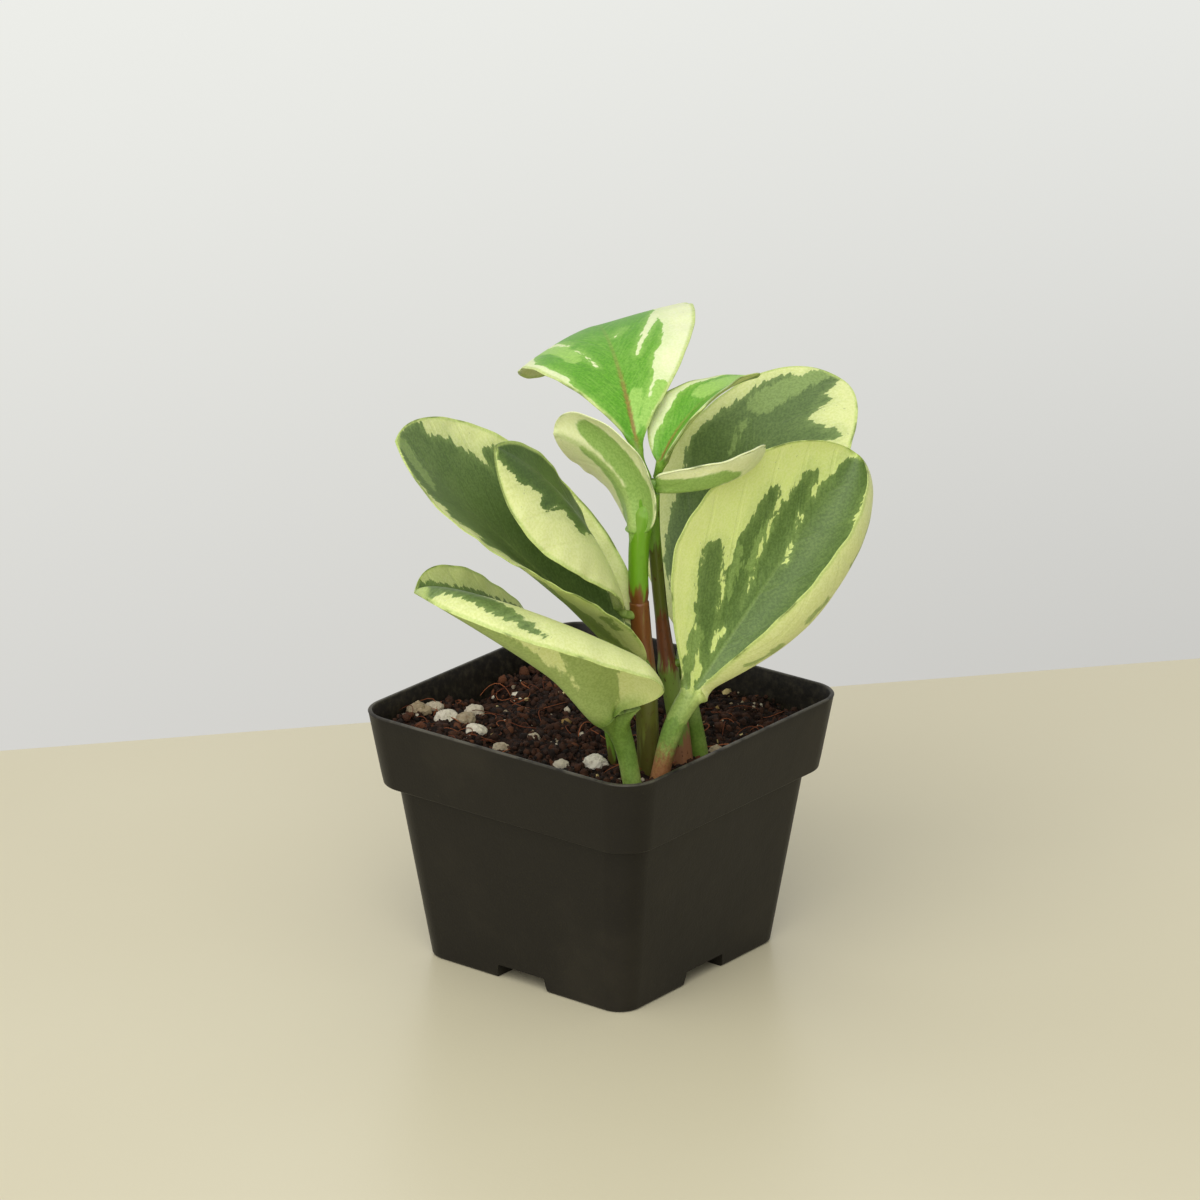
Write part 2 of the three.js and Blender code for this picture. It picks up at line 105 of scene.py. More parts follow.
def cloud(points: Array, size: float, seed: int, octaves: int = 1) -> Array:
    """Value noise: numbers at the corners of a lattice of cubes, blended by the smooth step along each axis.

    Args:
        points: places, the last axis of length 3.
        size: side of a lattice cube.
        seed: which noise to give.
        octaves: how many layers are added, each half the size and half the height of the one before.

    Returns:
        Noise from about -1 to 1 at each place.
    """
    total = np.zeros(points.shape[:-1])
    for octave in range(octaves):
        grid = points / (size / 2**octave) + 17.3 * octave
        low = np.floor(grid)
        part = grid - low
        part = part * part * (3.0 - 2.0 * part)
        layer = np.zeros(points.shape[:-1])
        for corner in range(8):
            step = np.array([corner & 1, (corner >> 1) & 1, (corner >> 2) & 1])
            weight = np.prod(np.where(step == 1, part, 1.0 - part), axis=-1)
            layer += weight * hashed(low + step, seed + octave)
        total += (2.0 * layer - 1.0) / 2**octave
    return total


def catmull(points: Array, shares: Array) -> Array:
    """Centripetal Catmull-Rom line: in each stretch a cubic whose end slopes come from the neighbouring points,
    each spaced by the square root of its distance.

    Args:
        points: the points that the line passes, n by 3.
        shares: places along it, where 0 is the first point and 1 the last, even from point to point.

    Returns:
        A point of the line for each share.
    """
    line = np.vstack([2 * points[0] - points[1], points, 2 * points[-1] - points[-2]])
    spot = np.clip(shares, 0, 1) * (len(points) - 1)
    low = np.minimum(spot.astype(int), len(points) - 2)
    t = (spot - low)[:, None]
    p0, p1, p2, p3 = (line[low + k] for k in range(4))
    d0, d1, d2 = (np.sqrt(np.linalg.norm(b - a, axis=1))[:, None] for a, b in ((p0, p1), (p1, p2), (p2, p3)))
    m1 = ((p1 - p0) / d0 - (p2 - p0) / (d0 + d1) + (p2 - p1) / d1) * d1
    m2 = ((p2 - p1) / d1 - (p3 - p1) / (d1 + d2) + (p3 - p2) / d2) * d1
    return (2 * t**3 - 3 * t**2 + 1) * p1 + (t**3 - 2 * t**2 + t) * m1 + (3 * t**2 - 2 * t**3) * p2 + (t**3 - t**2) * m2


def bezier(points: Array, shares: Array) -> tuple[Array, Array]:
    """Cubic Bezier line of four points, and its direction.

    Args:
        points: start, two handles and end, 4 by 3.
        shares: places along it from 0 to 1.

    Returns:
        A point for each share and the unit direction there.
    """
    t = shares[:, None]
    a, b, c, d = points
    line = (1 - t) ** 3 * a + 3 * (1 - t) ** 2 * t * b + 3 * (1 - t) * t**2 * c + t**3 * d
    way = (1 - t) ** 2 * (b - a) + 2 * (1 - t) * t * (c - b) + t**2 * (d - c)
    return line, way / np.linalg.norm(way, axis=1, keepdims=True)


def unit(vectors: Array) -> Array:
    """Vectors divided by their lengths."""
    return vectors / np.linalg.norm(vectors, axis=-1, keepdims=True)


# ---------------------------------------------------------------- places and meshes

@dataclass(frozen=True)
class Place:
    """Where the plant stands in the part's frame: turned about the pot's axis, which lies on the pot's middle."""

    turn: float
    centre: Pair

    def turned(self, points: Array, way: int = 1) -> Array:
        """Points turned about the pot's axis, counter-clockwise from above, or clockwise where way is -1."""
        angle = math.radians(self.turn) * way
        c, s = math.cos(angle), math.sin(angle)
        return points @ np.array([[c, s, 0.0], [-s, c, 0.0], [0.0, 0.0, 1.0]])

    def straight(self, points: Array) -> Array:
        """Takes points in millimetres from the pot's axis, along the pot's own sides, to the part's frame."""
        return points * METRES + np.array([*self.centre, 0.0])

    def row(self, points: Array) -> Array:
        """Takes points of the plant's frame, in millimetres, to the part's frame, in metres."""
        return self.straight(self.turned(points))

    def to_plant(self, points: Array) -> Array:
        """Takes millimetres from the pot's axis, along the pot's sides, to the plant's frame."""
        return self.turned(points, -1)


def pot_place(turn: float = 38.2) -> Place:
    """The place of the plant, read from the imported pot's box."""
    low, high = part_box("pot")
    return Place(turn, ((low.x + high.x) / 2, (low.y + high.y) / 2))


def keep_mark(mesh: bpy.types.Mesh, name: str, values: Array) -> None:
    """Keeps a number at each vertex of a mesh, for its material to read."""
    mark = mesh.attributes.new(name, "FLOAT", "POINT")
    mark.data.foreach_set("value", np.ascontiguousarray(values, np.float32).ravel())


def make_piece(name: str, points: Array, faces: Array | list, finish: bpy.types.Material,
               marks: dict[str, Array] | None = None, flow: Array | None = None) -> bpy.types.Object:
    """Makes a smooth mesh object at the origin.

    Args:
        name: name of the object and its mesh.
        points: vertices in metres in the part's frame, n by 3.
        faces: corner numbers, each face in outward order.
        finish: material of the whole piece.
        marks: numbers kept at each vertex for the material, by name.
        flow: u, v at each vertex for the map that the pattern follows.

    Returns:
        The new object, linked to the scene.
    """
    mesh = bpy.data.meshes.new(name)
    corners = faces.tolist() if isinstance(faces, np.ndarray) else faces
    mesh.from_pydata(points.tolist(), [], corners)
    mesh.polygons.foreach_set("use_smooth", np.ones(len(mesh.polygons), bool))
    for key, values in (marks or {}).items():
        keep_mark(mesh, key, values)
    if flow is not None:
        layer = mesh.uv_layers.new(name="flow")
        owner = np.zeros(len(mesh.loops), np.int32)
        mesh.loops.foreach_get("vertex_index", owner)
        layer.data.foreach_set("uv", flow[owner].astype(np.float32).ravel())
    mesh.materials.append(finish)
    mesh.update()
    piece = bpy.data.objects.new(name, mesh)
    bpy.context.scene.collection.objects.link(piece)
    return piece


def ring_faces(rings: int, sides: int) -> list[tuple[int, ...]]:
    """Faces of a closed body whose vertices are rings of equal size, then a hub for each end.

    Args:
        rings: number of rings.
        sides: number of vertices in each, counter-clockwise about the way the rings run.

    Returns:
        Four-cornered faces between rings and three-cornered ones to the hubs.
    """
    i, j = np.meshgrid(np.arange(rings - 1), np.arange(sides), indexing="ij")
    a = i * sides + j
    b = i * sides + (j + 1) % sides
    walls = np.stack([a, b, b + sides, a + sides], -1).reshape(-1, 4)
    edge = np.arange(sides)
    after = (edge + 1) % sides
    last = (rings - 1) * sides
    first_cap = np.stack([after, edge, np.full(sides, rings * sides)], -1)
    last_cap = np.stack([last + edge, last + after, np.full(sides, rings * sides + 1)], -1)
    return walls.tolist() + first_cap.tolist() + last_cap.tolist()


def with_hubs(rings: Array) -> Array:
    """Rings as a flat list of points, followed by the middles of the first and the last ring."""
    return np.vstack([rings.reshape(-1, rings.shape[-1]), rings[0].mean(0), rings[-1].mean(0)])


def dress(piece: bpy.types.Object, node: str) -> None:
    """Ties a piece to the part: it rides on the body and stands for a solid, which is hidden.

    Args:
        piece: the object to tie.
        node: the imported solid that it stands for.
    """
    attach(piece, BODY)
    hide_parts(node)
    log.info("%s stands for %s: %d faces", piece.name, node, len(piece.data.polygons))


# ---------------------------------------------------------------- finishes

Socket = bpy.types.NodeSocket
Feed = Socket | float | tuple


def tint(red: int, green: int, blue: int) -> Colour:
    """Linear colour of a screen colour from 0 to 255, by the usual power of 2.4 above its straight foot."""
    parts = np.array([red, green, blue]) / 255.0
    lin = np.where(parts <= 0.04045, parts / 12.92, ((parts + 0.055) / 1.055) ** 2.4)
    return tuple(float(v) for v in lin)


class Nodes:
    """Nodes of a material or of the world, added a step at a time."""

    def __init__(self, owner: bpy.types.Material | bpy.types.World) -> None:
        """Starts with the owner's own nodes."""
        owner.use_nodes = True
        self.tree = owner.node_tree

    def feed(self, socket: Socket, value: Feed) -> None:
        """Links a socket to another, or sets it to a fixed value.

        Args:
            socket: the input to feed.
            value: an output to link, a number, or a colour or vector.
        """
        if isinstance(value, bpy.types.NodeSocket):
            self.tree.links.new(value, socket)
        elif isinstance(value, tuple) and socket.type == "RGBA" and len(value) == 3:
            socket.default_value = (*value, 1.0)
        else:
            socket.default_value = value

    def node(self, kind: str, inputs: dict[str | int, Feed], **settings: object) -> bpy.types.Node:
        """Adds a node.

        Args:
            kind: its type, without the leading ShaderNode.
            inputs: what feeds its inputs, by name or place.
            **settings: its own options.

        Returns:
            The new node.
        """
        made = self.tree.nodes.new("ShaderNode" + kind)
        for key, value in settings.items():
            setattr(made, key, value)
        for key, value in inputs.items():
            self.feed(made.inputs[key], value)
        return made

    def step(self, value: Feed, low: float, high: float, top: float = 1.0) -> Socket:
        """Smooth step of a number from 0 at low to top at high."""
        inputs = {"Value": value, "From Min": low, "From Max": high, "To Min": 0.0, "To Max": top}
        return self.node("MapRange", inputs, interpolation_type="SMOOTHSTEP").outputs["Result"]

    def mix(self, share: Feed, first: Feed, second: Feed, blend: str = "MIX") -> Socket:
        """Blend of two colours by a share."""
        made = self.node("Mix", {0: share, 6: first, 7: second}, data_type="RGBA", blend_type=blend)
        return made.outputs[2]


class Recipe(Nodes):
    """A material's nodes, put together around one shader."""

    def __init__(self, name: str) -> None:
        """Starts a material with an empty shader and its output."""
        self.material = bpy.data.materials.new(name)
        super().__init__(self.material)
        self.tree.nodes.clear()
        self.shader = self.tree.nodes.new("ShaderNodeBsdfPrincipled")
        self.node("OutputMaterial", {"Surface": self.shader.outputs[0]})

    def calc(self, operation: str, first: Feed, second: Feed, clamp: bool = False) -> Socket:
        """One sum on two numbers."""
        return self.node("Math", {0: first, 1: second}, operation=operation, use_clamp=clamp).outputs[0]

    def plus(self, base: Feed, extra: Feed, times: float = 1.0) -> Socket:
        """A number plus another one multiplied."""
        return self.calc("ADD", base, extra if times == 1.0 else self.calc("MULTIPLY", extra, times))

    def noise(self, where: Socket, scale: float, detail: float = 2.0, rough: float = 0.5,
              twist: float = 0.0) -> Socket:
        """Soft noise around 0, from about -0.5 to 0.5.

        Args:
            where: coordinates.
            scale: lumps for each unit of them.
            detail: how many finer layers it has.
            rough: how strong the finer layers are.
            twist: how much it is warped.

        Returns:
            The noise.
        """
        inputs = {"Vector": where, "Scale": scale, "Detail": detail, "Roughness": rough, "Distortion": twist}
        return self.calc("SUBTRACT", self.node("TexNoise", inputs).outputs[0], 0.5)

    def mark(self, name: str) -> Socket:
        """A number kept at the vertices."""
        return self.node("Attribute", {}, attribute_name=name).outputs["Fac"]

    def stretch(self, where: Socket, scale: Point) -> Socket:
        """Coordinates scaled along each axis."""
        return self.node("Mapping", {"Vector": where, "Scale": scale}).outputs[0]

    def flow(self) -> Socket:
        """The piece's own map, which follows its veins."""
        return self.node("UVMap", {}, uv_map="flow").outputs[0]

    def object_place(self) -> Socket:
        """Object coordinates, in metres."""
        return self.node("TexCoord", {}).outputs["Object"]

    def height(self) -> Socket:
        """Height above the plane that the pot stands on, in metres."""
        return self.node("SeparateXYZ", {0: self.object_place()}).outputs["Z"]

    def along_veins(self, grain: Pair, detail: float = 2.0, rough: float = 0.5, twist: float = 0.0) -> Socket:
        """Noise on the piece's own map, with the lumps for each unit along and across the veins."""
        return self.noise(self.stretch(self.flow(), (*grain, 1.0)), 1.0, detail, rough, twist)

    def bump(self, height: Feed, distance: float, normal: Socket | None = None) -> Socket:
        """Surface relief.

        Args:
            height: relief from 0 to 1.
            distance: its depth in metres.
            normal: relief under this one.

        Returns:
            The surface's new direction.
        """
        inputs: dict[str | int, Feed] = {"Height": height, "Distance": distance, "Strength": 1.0}
        if normal is not None:
            inputs["Normal"] = normal
        return self.node("Bump", inputs).outputs[0]

    def done(self, **inputs: Feed) -> bpy.types.Material:
        """Feeds the shader and gives the material.

        Args:
            **inputs: shader inputs, spaces in their names written as underscores.

        Returns:
            The material.
        """
        for key, value in inputs.items():
            self.feed(self.shader.inputs[key.replace("_", " ")], value)
        return self.material


class Tone(Enum):
    """Kinds of marking on a variegated blade."""

    GREEN = "green"
    PALE = "pale"
    CREAM = "cream"


@dataclass(frozen=True)
class LeafSkin:
    """Waxy variegated skin: green on cream, with paler green patches and ragged borders along the veins."""

    name: str
    cream: Colour = tint(221, 229, 158)
    green: Colour = tint(92, 116, 62)
    pale: Colour = tint(136, 160, 92)
    under_cream: Colour = tint(216, 224, 152)
    under_green: Colour = tint(146, 168, 90)
    rim: Colour = tint(186, 206, 118)
    dashes: Colour = tint(84, 104, 44)
    rib: Colour = tint(138, 160, 96)
    stalk: Colour = tint(108, 140, 52)
    flush_red: Colour = tint(150, 84, 42)
    foot_red: Colour = tint(158, 92, 66)
    flush: float = 0.0
    ragged: float = 1.0
    streaked: float = 0.22
    foot: float = 0.0
    roughness: float = 0.45
    long_teeth: float = 5.0
    fine_teeth: float = 1.8
    pale_teeth: float = 6.0
    foot_levels: Pair = (0.079, 0.071)
    vein_spacing: float = 3.2
    vein_depth: float = 0.00012
    grain: float = 0.16

    def material(self) -> bpy.types.Material:
        """Builds the material.

        The border between two tones lies where a distance kept at the vertices, in millimetres, plus noise
        stretched along the veins, is zero.

        Returns:
            The material.
        """
        r = Recipe(self.name)
        here = r.object_place()
        long = r.along_veins((16.0, 56.0), 2.0, 0.55)
        fine = r.along_veins((60.0, 120.0), 2.0, 0.6)
        faint = r.along_veins((30.0, 150.0))
        streaks = r.along_veins((18.0, 420.0), 3.0, 0.65)
        patches = r.along_veins((26.0, 90.0), 3.0, 0.6, 0.3)
        cells = r.noise(here, 1400.0, 2.0, 0.6)
        drift = r.noise(here, 90.0)
        rib_at, along, edge = r.mark("rib"), r.mark("along"), r.mark("edge")

        wander = r.plus(r.calc("MULTIPLY", long, self.long_teeth * self.ragged), fine, self.fine_teeth * self.ragged)
        green_at = r.plus(r.mark("green"), wander)
        pale_at = r.plus(r.mark("pale"), patches, self.pale_teeth * self.ragged)

        cream = r.mix(r.step(r.plus(green_at, drift, 8.0), -4.0, 1.0, 0.22), self.cream, self.pale)
        green = r.mix(r.step(r.plus(drift, faint), -0.2, 0.4, 0.28), self.green, self.pale)
        green = r.mix(r.step(streaks, 0.0, 0.3, self.streaked), green, self.pale)
        green = r.mix(r.step(r.plus(green_at, streaks, 3.0), 2.4, 0.0, 0.5), green, self.pale)
        green = r.mix(r.step(pale_at, -0.5, 0.6, 0.9), green, self.pale)
        upper = r.mix(r.step(green_at, -0.16, 0.2), cream, green)
        rib_line = r.calc("MULTIPLY", r.step(rib_at, 0.75, 0.2), r.step(along, 0.85, 0.2, 0.55))
        upper = r.mix(rib_line, upper, self.rib)
        lower = r.mix(r.step(green_at, -0.5, 0.6, 0.9), self.under_cream, self.under_green)
        lower = r.mix(r.step(rib_at, 1.6, 0.4, 0.4), lower, self.rib)
        skin = r.mix(r.mark("under"), upper, lower)

        skin = r.mix(r.step(edge, 1.5, 0.5, 0.75), skin, self.rim)
        dashed = r.step(r.noise(here, 90.0, 2.0, 0.6), 0.02, 0.12, 0.65)
        skin = r.mix(r.calc("MULTIPLY", r.step(edge, 0.7, 0.35), dashed), skin, self.dashes)
        skin = r.mix(r.step(r.noise(here, 700.0, 1.0), 0.24, 0.3, 0.35), skin, self.dashes)
        near_rib = r.step(r.plus(rib_at, faint, 2.0), 1.1, 0.1)
        skin = r.mix(r.calc("MULTIPLY", near_rib, r.step(along, 0.42, 0.1, self.flush)), skin, self.flush_red)
        stalk = r.mix(r.step(drift, -0.1, 0.2, 0.4), self.stalk, self.rim)
        stalk = r.mix(r.step(r.plus(r.height(), fine, 0.012), *self.foot_levels, self.foot), stalk, self.foot_red)
        skin = r.mix(r.mark("stalk"), skin, stalk)
        speckle = r.mix(r.step(cells, -0.12, 0.12), (0.0, 0.0, 0.0), (1.0, 1.0, 1.0))
        skin = r.mix(self.grain, skin, speckle, "SOFT_LIGHT")

        across = r.stretch(r.flow(), (0.0, 1.0, 0.0))
        veins = r.node("TexWave", {"Vector": across, "Scale": self.vein_spacing, "Distortion": 0.0},
                       wave_type="BANDS", bands_direction="Y", wave_profile="SIN").outputs["Fac"]
        relief = r.bump(r.plus(r.calc("MULTIPLY", drift, 0.8), r.step(veins, 0.06, 0.0), -0.5), self.vein_depth)
        relief = r.bump(cells, 0.00004, relief)
        rough = r.plus(self.roughness, cells, 0.12)
        return r.done(Base_Color=skin, Roughness=rough, Normal=relief, Subsurface_Weight=0.12,
                      Subsurface_Radius=(1.0, 1.2, 0.4), Subsurface_Scale=0.0015, Specular_IOR_Level=0.38)


@dataclass(frozen=True)
class StemSkin:
    """Fleshy stem: green to red-brown along its height, with lengthwise streaks and small dark spots."""

    name: str
    bands: tuple[tuple[float, Colour], ...] = ((0.0, tint(92, 120, 48)), (0.07, tint(112, 146, 52)))
    streak: float = 0.02
    spotted: float = 0.4
    soft: float = 0.002
    spot: Colour = tint(74, 44, 22)
    bloom: Colour = tint(150, 166, 84)

    def material(self) -> bpy.types.Material:
        """Builds the material: each band's tone starts at its height, blended in streaks along the stem.

        Returns:
            The material.
        """
        r = Recipe(self.name)
        here = r.object_place()
        streaks = r.noise(r.stretch(here, (420.0, 420.0, 60.0)), 1.0, 3.0, 0.6)
        spots = r.noise(r.stretch(here, (900.0, 900.0, 500.0)), 1.0, 2.0, 0.6)
        where = r.plus(r.height(), streaks, self.streak)
        colour = self.bands[0][1]
        for level, tone in self.bands[1:]:
            colour = r.mix(r.step(where, level - self.soft, level + self.soft), colour, tone)
        colour = r.mix(r.step(spots, 0.1, 0.2, self.spotted), colour, self.spot)
        colour = r.mix(r.step(streaks, 0.05, 0.25, 0.3), colour, self.bloom)
        relief = r.bump(r.plus(streaks, spots, 0.5), 0.0002)
        return r.done(Base_Color=colour, Roughness=0.42, Normal=relief, Subsurface_Weight=0.1,
                      Subsurface_Radius=(1.0, 0.8, 0.3), Subsurface_Scale=0.001)


@dataclass(frozen=True)
class MouldedPlastic:
    """Thin black nursery-pot plastic: satin, faintly pitted, dusted, with a paler worn line on the rim's edge."""

    name: str = "moulded_black_plastic"
    body: Colour = tint(25, 22, 17)
    dust_and_painted_light: Colour = tint(74, 68, 54)
    worn: Colour = tint(120, 116, 104)
    roughness: float = 0.46
    shine: float = 0.24

    def material(self) -> bpy.types.Material:
        """Builds the material: dust in soft clouds and specks, more specks of that colour inside, partly dust and
        partly painted light on the inner wall, and wear on the lip's edge.

        Returns:
            The material.
        """
        r = Recipe(self.name)
        here = r.object_place()
        cloudy = r.noise(here, 26.0, 4.0, 0.6)
        pits = r.noise(here, 1500.0, 2.0, 0.6)
        specks = r.noise(here, 420.0, 3.0, 0.7)
        colour = r.mix(r.step(cloudy, -0.05, 0.25, 0.16), self.body, self.dust_and_painted_light)
        colour = r.mix(r.step(specks, 0.2, 0.26, 0.22), colour, self.dust_and_painted_light)
        # The inner side is lightened with the dust colour: partly dust, partly painted light on the inner wall.
        colour = r.mix(r.calc("MULTIPLY", r.mark("inside"), r.step(specks, -0.1, 0.25, 0.5)), colour, self.dust_and_painted_light)
        wear = r.calc("MULTIPLY", r.mark("lip"), r.step(r.noise(here, 120.0, 3.0, 0.6), -0.2, 0.15, 0.45))
        colour = r.mix(wear, colour, self.worn)
        relief = r.bump(pits, 0.00005, r.bump(cloudy, 0.0004))
        rough = r.plus(self.roughness, cloudy, 0.2)
        return r.done(Base_Color=colour, Roughness=rough, Normal=relief, Specular_IOR_Level=self.shine)


@dataclass(frozen=True)
class PeatMix:
    """Damp peat: near black to red-brown, rough and crumbly."""

    name: str = "peat_mix"
    wet: Colour = tint(20, 11, 6)
    damp: Colour = tint(48, 27, 16)
    crumb: Colour = tint(78, 45, 27)

    def material(self) -> bpy.types.Material:
        """Builds the material: two sizes of noise for colour and for relief.

        Returns:
            The material.
        """
        r = Recipe(self.name)
        here = r.object_place()
        clods = r.noise(here, 220.0, 4.0, 0.65)
        crumbs = r.noise(here, 900.0, 4.0, 0.7)
        colour = r.mix(r.step(clods, -0.12, 0.2), self.wet, self.damp)
        colour = r.mix(r.step(crumbs, 0.02, 0.3, 0.6), colour, self.crumb)
        relief = r.bump(crumbs, 0.0012, r.bump(clods, 0.002))
        return r.done(Base_Color=colour, Roughness=0.9, Normal=relief, Specular_IOR_Level=0.25)


@dataclass(frozen=True)
class Loose:
    """Finish of small loose things, each with a tone of its own between two colours."""

    name: str
    dark: Colour
    light: Colour
    roughness: float = 0.85
    relief: float = 0.0005
    stain: float = 0.0
    stained: Colour = tint(110, 84, 58)

    def material(self) -> bpy.types.Material:
        """Builds the material: the mark 'tone' picks the colour and noise breaks it up.

        Returns:
            The material.
        """
        r = Recipe(self.name)
        here = r.object_place()
        grit = r.noise(here, 1300.0, 4.0, 0.7)
        lumps = r.noise(here, 500.0, 3.0, 0.6)
        tone = r.calc("ADD", r.mark("tone"), r.calc("MULTIPLY", grit, 0.5), clamp=True)
        colour = r.mix(tone, self.dark, self.light)
        colour = r.mix(r.step(lumps, 0.0, 0.2, self.stain), colour, self.stained)
        return r.done(Base_Color=colour, Roughness=self.roughness, Normal=r.bump(grit, self.relief),
                      Specular_IOR_Level=0.3)


# ---------------------------------------------------------------- leaves

@dataclass(frozen=True)
class Stroke:
    """A patch of tone along a straight line on the blade.

    Attributes:
        start: share of the length and of the half width, above zero on the left of the midrib.
        end: the same for its other end.
        reach: half of its breadth at the start and the end, in millimetres.
        tone: which tone it paints.
    """

    start: Pair
    end: Pair
    reach: Pair
    tone: Tone = Tone.GREEN


def trail(*stops: tuple[float, float, float], tone: Tone = Tone.GREEN) -> tuple[Stroke, ...]:
    """Strokes from stop to stop, each a share of the length, a share of the half width and half a breadth."""
    return tuple(Stroke(a[:2], b[:2], (a[2], b[2]), tone) for a, b in zip(stops, stops[1:]))


@dataclass(frozen=True)
class Blade:
    """What all blades share, in millimetres and in shares of the length and of the half width.

    Attributes:
        half: half of the thickness at the base.
        thinning: share of it that is gone at the tip.
        rib: height of the midrib below, as a share of the length.
        rib_width: its half breadth.
        neck: share of the length on which the stalk's thickness passes into the blade.
        throat: share of the length on which the stalk's breadth does.
        crease: share of the half width over which a half takes up its fold.
        groove: depth of the line above the midrib.
        groove_width: its half breadth.
        flat_over: half widths, in throats, between which the stalk's round section flattens.
        flat_by: shares of the length between which it flattens in any case.
        margin: share of the half width at which the margin's waves begin.
        wave_start: shares of the length between which they rise.
        wave_end: shares between which they fade.
        wave_rates: how fast the two waves run, in radians for each millimetre.
        pull: length of the stalk's handles, as a share of its span.
        bends: steps in which a half's slope is summed.
        rings: rings along the blade.
        sides: vertices in each ring.
        stalk_rings: rings along the stalk.
        soil_level: height below which a stalk rises straight out of the mix.
        flow_slant: degrees between the midrib and the veins.
        flow_scale: units of the flow map for each millimetre.
    """

    half: float = 0.6
    thinning: float = 0.3
    rib: float = 0.011
    rib_width: float = 1.8
    neck: float = 0.35
    throat: float = 0.25
    crease: float = 0.12
    groove: float = 0.22
    groove_width: float = 0.9
    flat_over: Pair = (0.4, 2.0)
    flat_by: Pair = (0.2, 0.4)
    margin: float = 0.55
    wave_start: Pair = (0.05, 0.3)
    wave_end: Pair = (1.0, 0.8)
    wave_rates: Pair = (0.31, 0.73)
    pull: float = 0.4
    bends: int = 24
    rings: int = 150
    sides: int = 168
    stalk_rings: int = 36
    soil_level: float = 66.4
    flow_slant: float = 34.0
    flow_scale: float = 0.01


